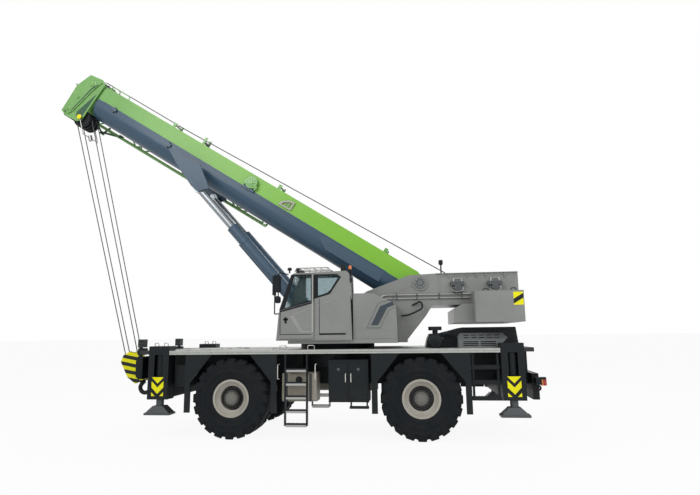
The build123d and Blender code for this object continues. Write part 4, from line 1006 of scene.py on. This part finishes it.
# Place along the cheek, stand-off from it, and height of each point
HOSE = ((2.1, 0.02, 3.1), (2.32, 0.1, 3.2), (2.36, 0.12, 3.02), (2.02, 0.12, 2.86), (1.82, 0.1, 2.84))
MOTOR_LINE = (
    (-0.14, 0.1, 3.5), (-0.14, 0.16, 3.44), (-0.02, 0.16, 3.4), (0.12, 0.16, 3.44), (0.12, 0.1, 3.54),
)
MAST_X = 2.84


def by_cheek(points, shift=0.0):
    """Points of (place, stand-off, height) beside the turntable's left cheek."""
    return [at(x + shift, CHEEK - proud, z) for x, proud, z in points]


kit = Kit("turntable_lines", "turntable", "steel")
kit.lathe(BOSS, LEFT, PIVOT_CAP, "panel_grey", 40)
kit.bolts(BOSS - ACROSS * 0.02, LEFT, 0.11, 10, 0.016, "steel", 0.02)
for z, x0, x1 in ((3.36, 1.32, 3.55), (3.27, 1.36, 4.05)):
    line = ((x0, 0.03, z - 0.05), (x0 + 0.1, 0.04, z), (x1, 0.04, z), (x1 + 0.06, -0.02, z))
    kit.tube(by_cheek(line), 0.017, "steel", 12, 0.06)
    for x in (1.7, 2.2, 2.75, 3.3):
        kit.box((x, CHEEK - 0.066, z - 0.028), (x + 0.035, CHEEK + 0.005, z + 0.028), "dark_steel", 0.004)
for outline in CHEEK_RIBS:
    for side in SIDES:
        kit.plate(outline, *span(side, -CHEEK, -CHEEK + 0.012), "grey")
for x in (3.0, 3.45, 3.68, 3.9, 4.36):
    kit.box((x, CHEEK - 0.03, 3.76), (x + 0.03, CHEEK, 3.86), "grey", 0.004)
kit.tube(by_cheek(HOSE), 0.02, "seal", 12, 0.12)
for x in WINCH_X:
    foot = at(x, CHEEK - 0.004, WINCH_Z)
    kit.lathe(foot, LEFT, WINCH_MOTOR, "dark_steel", 32)
    kit.bolts(foot - ACROSS * 0.03, LEFT, 0.122, 8, 0.014, "steel", 0.016)
    kit.box((x - 0.18, CHEEK - 0.12, 3.56), (x + 0.16, CHEEK, 3.66), "dark_steel", 0.01)
    kit.tube(by_cheek(MOTOR_LINE, x), 0.013, "steel", 10, 0.06)
    y = CHEEK - 0.06
    kit.handle((x - 0.1, y, 3.64), (x + 0.1, y, 3.64), (0, 0, 0.1), 0.013, "steel", 0.05)
kit.rod(at(MAST_X, CHEEK + 0.03, 3.86), at(MAST_X, CHEEK + 0.03, 4.12), 0.018, "black")
kit.box((MAST_X - 0.05, CHEEK - 0.03, 4.1), (MAST_X + 0.05, CHEEK + 0.09, 4.22), "black", 0.014)
kit.box((MAST_X - 0.065, CHEEK - 0.02, 4.112), (MAST_X - 0.048, CHEEK + 0.08, 4.208), "lamp", 0.005)
kit.done()

DRUM_R, DRUM_HALF, DRUM_TURNS = 0.22, 0.52, 36
kit = Kit("winch_rope", "turntable", "steel")
for x in WINCH_X:
    pitch = 2 * DRUM_HALF / DRUM_TURNS
    profile = [(DRUM_R, -DRUM_HALF)]
    for k in range(DRUM_TURNS):
        start = -DRUM_HALF + 2 * DRUM_HALF * k / DRUM_TURNS
        for rise, share in ((0.006, 0.1), (0.02, 0.35), (0.02, 0.65), (0.006, 0.9)):
            profile.append((DRUM_R + rise, start + share * pitch))
    profile.append((DRUM_R, DRUM_HALF))
    kit.lathe(at(x, 0, WINCH_Z), ACROSS, profile, "rope", 40)
kit.done()

WEIGHT_LOW, WEIGHT_HIGH = local_box("counterweight")
SIGN_W, SIGN_H = 0.22, 0.3
kit = Kit("weight_trim", "turntable", "grey_paint")
for side in SIDES:
    x0, z0 = WEIGHT_HIGH.x - 0.25, WEIGHT_HIGH.z - 0.34
    x1 = x0 + SIGN_W
    y0, y1 = span(side, WEIGHT_HIGH.y + 0.003, WEIGHT_HIGH.y - 0.004)
    kit.plate(rect(x0, z0, x1, z0 + SIGN_H), y0, y1, "yellow", 0.001)
    y0, y1 = span(side, WEIGHT_HIGH.y + 0.004, WEIGHT_HIGH.y)
    kit.plate([(x0, z0 + 0.03), (x0, z0 + 0.14), (x1, z0 + 0.27), (x1, z0 + 0.16)], y0, y1, "black", 0)
    y, z = side * (WEIGHT_HIGH.y - 0.2), WEIGHT_HIGH.z - 0.02
    for x in (WEIGHT_LOW.x + 0.75, WEIGHT_HIGH.x - 0.2):
        kit.handle((x - 0.06, y, z), (x + 0.06, y, z), (0, 0, 0.09), 0.016, "dark_steel", 0.05)
kit.done()

# Boom: side ledge whose slate colour also stands as a painted shadow line, rope guides, reel, brackets, clips
# and rail

BOOM_TOP, BOOM_HALF = 0.26, 0.38
BOOM_OUT = -BOOM_HALF
GUIDES = ((8.48, 0.1), (4.71, 0.1), (1.24, 0.08))
GUIDE_Y = 0.2
ROLLER = [(0.03, 0), (0.055, 0.02), (0.038, 0.06), (0.038, 0.24), (0.055, 0.28), (0.03, 0.3)]
REEL = on_boom(5.38, 0.02, BOOM_OUT)
REEL_FORM = [
    (0.17, 0), (0.17, 0.02), (0.1, 0.025), (0.1, 0.085), (0.17, 0.09), (0.17, 0.105), (0.06, 0.11),
    (0.05, 0.13), (0, 0.13),
]
FAN = [(4.02, -0.1), (4.02, 0.16), (4.2, 0.13), (4.36, 0.02), (4.42, -0.1)]
FAN_IN = [(4.06, -0.06), (4.06, 0.11), (4.18, 0.09), (4.3, 0.01), (4.34, -0.06)]
FOOT_PLATE = ((0.95, -0.2), (2.85, -0.2), (2.95, -0.31), (2.62, -0.5), (0.95, -0.5))
LINE_N, LINE_Y = BOOM_TOP + 0.025, 0.27
RAIL_POINTS = ((10.1, BOOM_TOP), (10.15, BOOM_TOP + 0.1), (10.78, BOOM_TOP + 0.1), (10.82, BOOM_TOP))
kit = Kit("boom_fittings", "boom", "green_paint")
# A slate strip along the colour line: a real ledge, and a dark line above the line as painted shadow of the
# ledge
for side in SIDES:
    y0, y1 = span(side, BOOM_HALF + 0.006, BOOM_HALF - 0.002)
    kit.boom_box(0.9, 10.75, y0, y1, COLOUR_LINE - 0.012, COLOUR_LINE + 0.012, "slate", 0.003)
for s, tall in GUIDES:
    for y in (-GUIDE_Y, GUIDE_Y):
        low, high = BOOM_TOP - 0.01, BOOM_TOP + tall + 0.05
        kit.boom_box(s - 0.05, s + 0.05, y - 0.012, y + 0.012, low, high, "green", 0.006)
    kit.rod(on_boom(s, BOOM_TOP + tall, -GUIDE_Y), on_boom(s, BOOM_TOP + tall, GUIDE_Y), 0.035, "steel", 18)
for y in (-0.16, 0.16):
    kit.boom_box(7.38, 7.46, y - 0.012, y + 0.012, BOOM_TOP - 0.01, BOOM_TOP + 0.24, "green", 0.006)
kit.lathe(on_boom(7.42, BOOM_TOP + 0.085, -0.15), ACROSS, ROLLER, "dark_steel", 28)
kit.lathe(REEL, LEFT, REEL_FORM, "green", 40)
kit.bolts(REEL - ACROSS * 0.105, LEFT, 0.11, 8, 0.014, "slate", 0.012)
for s in (5.2, 5.56):
    kit.boom_box(s - 0.03, s + 0.03, BOOM_OUT - 0.1, BOOM_OUT, -0.12, 0.0, "green", 0.008)
kit.boom_box(5.2, 5.56, BOOM_OUT - 0.06, BOOM_OUT, -0.2, -0.13, "slate", 0.008)
ring(kit.boom_plate, FAN, FAN_IN, BOOM_OUT - 0.05, BOOM_OUT + 0.005, "panel_light")
for s in (4.13, 4.22):
    kit.boom_box(s, s + 0.02, BOOM_OUT - 0.03, BOOM_OUT - 0.01, -0.08, 0.1, "panel_light", 0.003)
for s, n in ((10.27, -0.21), (8.17, -0.27)):
    kit.boom_box(s - 0.08, s + 0.08, BOOM_OUT - 0.05, BOOM_OUT, n - 0.05, n + 0.05, "slate", 0.01)
    kit.rod(on_boom(s, n - 0.1, BOOM_OUT - 0.03), on_boom(s, n + 0.08, BOOM_OUT - 0.03), 0.02, "dark_steel")
for side in SIDES:
    kit.boom_plate(FOOT_PLATE, *span(side, BOOM_HALF + 0.008, BOOM_HALF - 0.004), "slate")
for k in range(7):
    s = 1.6 + k * 1.35
    kit.boom_box(s, s + 0.03, 0.24, 0.3, BOOM_TOP - 0.005, BOOM_TOP + 0.03, "dark_steel", 0.004)
kit.tube([on_boom(0.9, LINE_N, LINE_Y), on_boom(10.3, LINE_N, LINE_Y)], 0.014, "seal")
kit.tube([on_boom(s, n, -0.33) for s, n in RAIL_POINTS], 0.014, "green")
kit.done()

# Boom head: arms, painted shade in the recess and along the arms' edges, pins, bail stops and rods

HEAD_OUT = 0.33
# A dark green plate in the recess between the arm and the boom's end: painted shade
HEAD_RECESS_SHADE = [(11.13, -0.06), (11.36, -0.84), (11.30, -0.98), (11.12, -0.9), (11.12, -0.5)]
ARM = [
    (11.16, 0.30), (11.62, 0.26), (11.80, -0.12), (11.80, -0.98), (11.55, -1.03), (11.46, -0.86),
    (11.30, -0.05),
]
# A dark green strip along each arm: painted shade
ARM_EDGE_SHADE = [
    (11.21, 0.18), (11.34, -0.04), (11.49, -0.84), (11.55, -0.98), (11.52, -0.84), (11.38, -0.03),
    (11.25, 0.19),
]
HEAD_PLATES = ((HEAD_RECESS_SHADE, 0.004, "green_dark"), (ARM, 0.03, "green"), (ARM_EDGE_SHADE, 0.036, "green_dark"))
HEAD_PINS = ((11.42, 0.13, 0.11), (11.69, -0.89, 0.09), (11.58, -0.45, 0.05))
BAIL_CAP = [(0.07, -0.06), (0.07, 0), (0.05, 0.008), (0, 0.008)]
kit = Kit("head_fittings", "boom_tip", "green_paint")
for side in SIDES:
    axis = (0, side, 0)
    for outline, proud, finish in HEAD_PLATES:
        kit.boom_plate(outline, *span(side, HEAD_OUT, HEAD_OUT + proud), finish, 0.006)
    for s, n, size in HEAD_PINS:
        pin = [(size, 0), (size, 0.012), (size * 0.7, 0.02), (size * 0.7, 0.034), (0, 0.036)]
        kit.lathe(on_boom(s, n, side * (HEAD_OUT + 0.03)), axis, pin, "green")
    kit.lathe(on_boom(HEAD_S, (HEAD - PIVOT).dot(RISE), side * 0.395), axis, BAIL_CAP, "yellow")
    hoop = [on_boom(s, n, side * 0.3) for s, n in ((11.3, 0.3), (11.36, 0.36), (11.5, 0.3))]
    kit.tube(hoop, 0.016, "green", 10, 0.04)
    kit.rod(on_boom(11.78, -0.14, side * 0.22), on_boom(12.02, -0.12, side * 0.22), 0.014, "black")
for y in (-0.25, 0.0, 0.25):
    kit.rod(on_boom(11.2, 0.31, y - 0.03), on_boom(11.2, 0.31, y + 0.03), 0.05, "dark_steel", 20)
kit.boom_box(11.34, 11.5, -0.3, 0.3, 0.33, 0.36, "green", 0.006)
kit.done()

# Links that hold the stowed jib's outer end, in the darker green of painted shade

JIB_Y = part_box("jib")[1][1] - 0.462
JIB_LINKS = (
    ((11.14, -0.96), (10.43, -0.77), 0.032),
    ((10.95, -0.70), (11.06, -0.96), 0.03),
    ((11.53, -0.76), (11.14, -0.96), 0.026),
    ((11.55, -0.66), (11.53, -0.88), 0.036),
)
kit = Kit("jib_fittings", "boom", "green_paint")
for start, end, radius in JIB_LINKS:
    kit.rod(on_boom(*start, JIB_Y), on_boom(*end, JIB_Y), radius, "green_dark", 16)
for s, n in ((11.1, -0.97), (10.45, -0.77)):
    kit.boom_box(s - 0.07, s + 0.07, JIB_Y - 0.05, JIB_Y + 0.05, n - 0.05, n + 0.05, "green_dark", 0.012)
    kit.rod(on_boom(s, n, JIB_Y - 0.075), on_boom(s, n, JIB_Y + 0.075), 0.022, "dark_steel")
kit.done()

# Luffing cylinders: clamp rings and feed lines

LUFF_Y = (-0.55, 0.55)
LUFF_UNDER = Vector((-LUFF_DIR.z, 0, LUFF_DIR.x)) * 0.165
CLAMP = [(0.151, 0), (0.157, 0.004), (0.157, 0.05), (0.151, 0.054)]
kit = Kit("luff_fittings", "luff_barrels", "slate_paint")
for y in LUFF_Y:
    kit.tube([on_luff(0.5, y) + LUFF_UNDER, on_luff(3.3, y) + LUFF_UNDER], 0.018, "slate")
    for length in (0.55, 1.8, 3.2):
        kit.lathe(on_luff(length, y), LUFF_DIR, CLAMP, "slate", 40, True)
kit.done()

# Operator's seat: crowned cushions

CHANNEL_Y, CHANNEL_W, CHANNEL_DEPTH = 0.55, 0.12, 0.06


def cushion(name, centre, size, lean):
    """A crowned closed form with pinched sides and two sewn channels."""
    form = bmesh.new()
    bmesh.ops.create_cube(form, size=2.0)
    bmesh.ops.subdivide_edges(form, edges=form.edges[:], cuts=11, use_grid_fill=True)
    turn = Matrix.Rotation(lean, 3, "Y")
    for vert in form.verts:
        x, y, z = vert.co
        round_off = 1 - 0.10 * (abs(y) ** 4) * (abs(z) ** 2) - 0.08 * abs(x) ** 4
        crown = 1 + 0.22 * (1 - x * x) * (1 - y * y)
        groove = max(0, 1 - abs(abs(y) - CHANNEL_Y) / CHANNEL_W)
        channel = CHANNEL_DEPTH * groove * (1 if z > 0.5 else 0)
        spot = Vector((x * size[0] * round_off, y * size[1] * round_off, z * size[2] * (crown - channel)))
        vert.co = Vector(centre) + turn @ spot
    for face in form.faces:
        face.smooth = True
    data = to_data(name, form)
    data.materials.append(M["seat"])
    piece = add(name, data)
    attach(piece, "turntable")


CAB_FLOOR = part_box("cab_interior")[0][2] - LIFT
CAB_MID = middle("cab_shell").y
cushion("seat_cushion", at(-0.17, CAB_MID, CAB_FLOOR + 0.46), (0.28, 0.25, 0.06), 0.0)
cushion("seat_back", at(0.075, CAB_MID, CAB_FLOOR + 0.79), (0.38, 0.24, 0.055), math.radians(-79))

# Deck hatches and hood fittings

HATCHES = (
    (-3.55, -2.55, -0.55, 0.55),
    (-2.35, -1.35, -0.55, 0.55),
    (-3.55, -2.75, 0.8, 1.45),
    (-3.55, -2.75, -1.45, -0.8),
)
HATCH_TOP = DECK_TOP + 0.008
kit = Kit("deck_hatches", "carrier", "deck_metal")
for x0, x1, y0, y1 in HATCHES:
    kit.box((x0, y0, DECK_TOP), (x1, y1, HATCH_TOP), "deck", 0.003)
    for x in (x0 + 0.08, x1 - 0.2):
        kit.box((x, y0 + 0.03, HATCH_TOP), (x + 0.12, y0 + 0.06, DECK_TOP + 0.016), "dark_steel", 0.003)
kit.done()

HOOD_LOW, HOOD_HIGH = local_box("engine_hood")
CLEANER_LOW, CLEANER_HIGH = local_box("air_cleaner")
DRUM_MID = at((CLEANER_LOW.x + CLEANER_HIGH.x) / 2, CLEANER_LOW.y - 0.001, CLEANER_LOW.z + 0.185)
DRUM_LID = [(0.12, -0.01), (0.12, 0.004), (0.1, 0.012), (0.02, 0.016), (0.02, 0.03), (0, 0.03)]
INTAKE = ((0.05, 0.2, 0.1), (0.3, 0.2, 0.16), (0.42, 0.3, 0.1))
kit = Kit("hood_fittings", "carrier", "black_paint")
for side in SIDES:
    y = side * (HOOD_HIGH.y + 0.001)
    y0, y1 = sorted((y, y + side * 0.012))
    for x in (HOOD_LOW.x + 0.35, HOOD_LOW.x + 1.0, HOOD_HIGH.x - 0.35):
        kit.box((x, y0, HOOD_LOW.z + 0.2), (x + 0.09, y1, HOOD_LOW.z + 0.26), "dark_steel", 0.004)
    first, last = [(HOOD_HIGH.x - back, y, HOOD_LOW.z + 0.32) for back in (0.6, 0.4)]
    kit.handle(first, last, (0, side * 0.04, 0), 0.01, "steel", 0.02)
kit.lathe(DRUM_MID, LEFT, DRUM_LID, "black", 36)
kit.tube([DRUM_MID + Vector(shift) for shift in INTAKE], 0.05, "seal", 14, 0.15)
kit.done()

# Camera at the photograph's place, floor and light

CAMERA_PLACE = at(2.1633, -13.9099, 2.4061)
CAMERA_YAW, CAMERA_PITCH, CAMERA_ROLL = -0.1222, 0.1655, -0.0121
FOCAL_PIXELS = 520
PHOTO_WIDTH = 700
SENSOR_WIDTH = 36
VIEW_REACH = 500
FLOOR_SIZE = 600
FLOOR_DROP = 0.001
FLOOR_WHITE = 0.92
SKY_LEVEL = 0.5


def camera():
    level = Vector((math.sin(CAMERA_YAW), math.cos(CAMERA_YAW), 0))
    right = Vector((math.cos(CAMERA_YAW), -math.sin(CAMERA_YAW), 0))
    ahead = level * math.cos(CAMERA_PITCH) + UP * math.sin(CAMERA_PITCH)
    top = UP * math.cos(CAMERA_PITCH) - level * math.sin(CAMERA_PITCH)
    side = right * math.cos(CAMERA_ROLL) + top * math.sin(CAMERA_ROLL)
    top = top * math.cos(CAMERA_ROLL) - right * math.sin(CAMERA_ROLL)
    data = bpy.data.cameras.new("photo_camera")
    data.sensor_width = SENSOR_WIDTH
    data.lens = SENSOR_WIDTH * FOCAL_PIXELS / PHOTO_WIDTH
    data.clip_end = VIEW_REACH
    view = add("photo_camera", data)
    view.matrix_world = Matrix.Translation(CAMERA_PLACE) @ Matrix((side, top, -ahead)).transposed().to_4x4()
    bpy.context.scene.camera = view


def seen_rays(tree):
    """One for rays that show white: the camera's, reflected and refracted ones."""
    path = tree.nodes.new("ShaderNodeLightPath")
    rays = path.outputs["Is Camera Ray"]
    for name in ("Is Glossy Ray", "Is Transmission Ray"):
        join = tree.nodes.new("ShaderNodeMath")
        join.operation = "MAXIMUM"
        tree.links.new(rays, join.inputs[0])
        tree.links.new(path.outputs[name], join.inputs[1])
        rays = join.outputs[0]
    return rays


def pale_floor():
    grid = bmesh.new()
    bmesh.ops.create_grid(grid, x_segments=1, y_segments=1, size=FLOOR_SIZE)
    floor = add("floor", to_data("floor", grid))
    floor.location = (MID_X, 0, CAD_BOX[0].z - FLOOR_DROP)
    pale = Graph("pale_floor")
    speck = pale.noise(0.7)
    pale.set(
        Base_Color=pale.mix(speck, (0.86, 0.86, 0.86, 1), (0.9, 0.9, 0.9, 1)),
        Roughness=pale.spread(speck, 0, 1, 0.85, 0.95),
    )
    glow = pale.node("Emission", Color=(1, 1, 1, 1))
    blend = pale.node("MixShader", Fac=pale.math("MULTIPLY", seen_rays(pale.tree), FLOOR_WHITE))
    pale.link(pale.shader.outputs["BSDF"], blend.inputs[1])
    pale.link(glow.outputs["Emission"], blend.inputs[2])
    pale.link(blend.outputs["Shader"], pale.tree.nodes["Material Output"].inputs["Surface"])
    floor.data.materials.append(pale.material)


def sky():
    """An even sky that shows white and lights the object at half that level."""
    world = bpy.data.worlds.new("studio")
    world.use_nodes = True
    bpy.context.scene.world = world
    tree = world.node_tree
    background = tree.nodes["Background"]
    background.inputs["Color"].default_value = (1, 1, 1, 1)
    level = tree.nodes.new("ShaderNodeMapRange")
    tree.links.new(seen_rays(tree), level.inputs["Value"])
    level.inputs["To Min"].default_value = SKY_LEVEL
    level.inputs["To Max"].default_value = 1.0
    tree.links.new(level.outputs["Result"], background.inputs["Strength"])


def area_lamp(name, place, aim, width, power):
    lamp = bpy.data.lights.new(name, "AREA")
    lamp.size = width
    lamp.energy = power
    holder = add(name, lamp)
    holder.location = place
    holder.rotation_mode = "QUATERNION"
    holder.rotation_quaternion = (aim - place).to_track_quat("-Z", "Y")


camera()
pale_floor()
sky()
area_lamp("key_light", at(-9, -15, 15), at(0, 0, 3), 9.0, 1500)
area_lamp("fill_light", at(12, -12, 8), at(1, 0, 2), 9.0, 650)
area_lamp("back_light", at(3, 14, 14), at(0, 0, 3), 8.0, 500)
bpy.context.scene.view_settings.view_transform = "Standard"
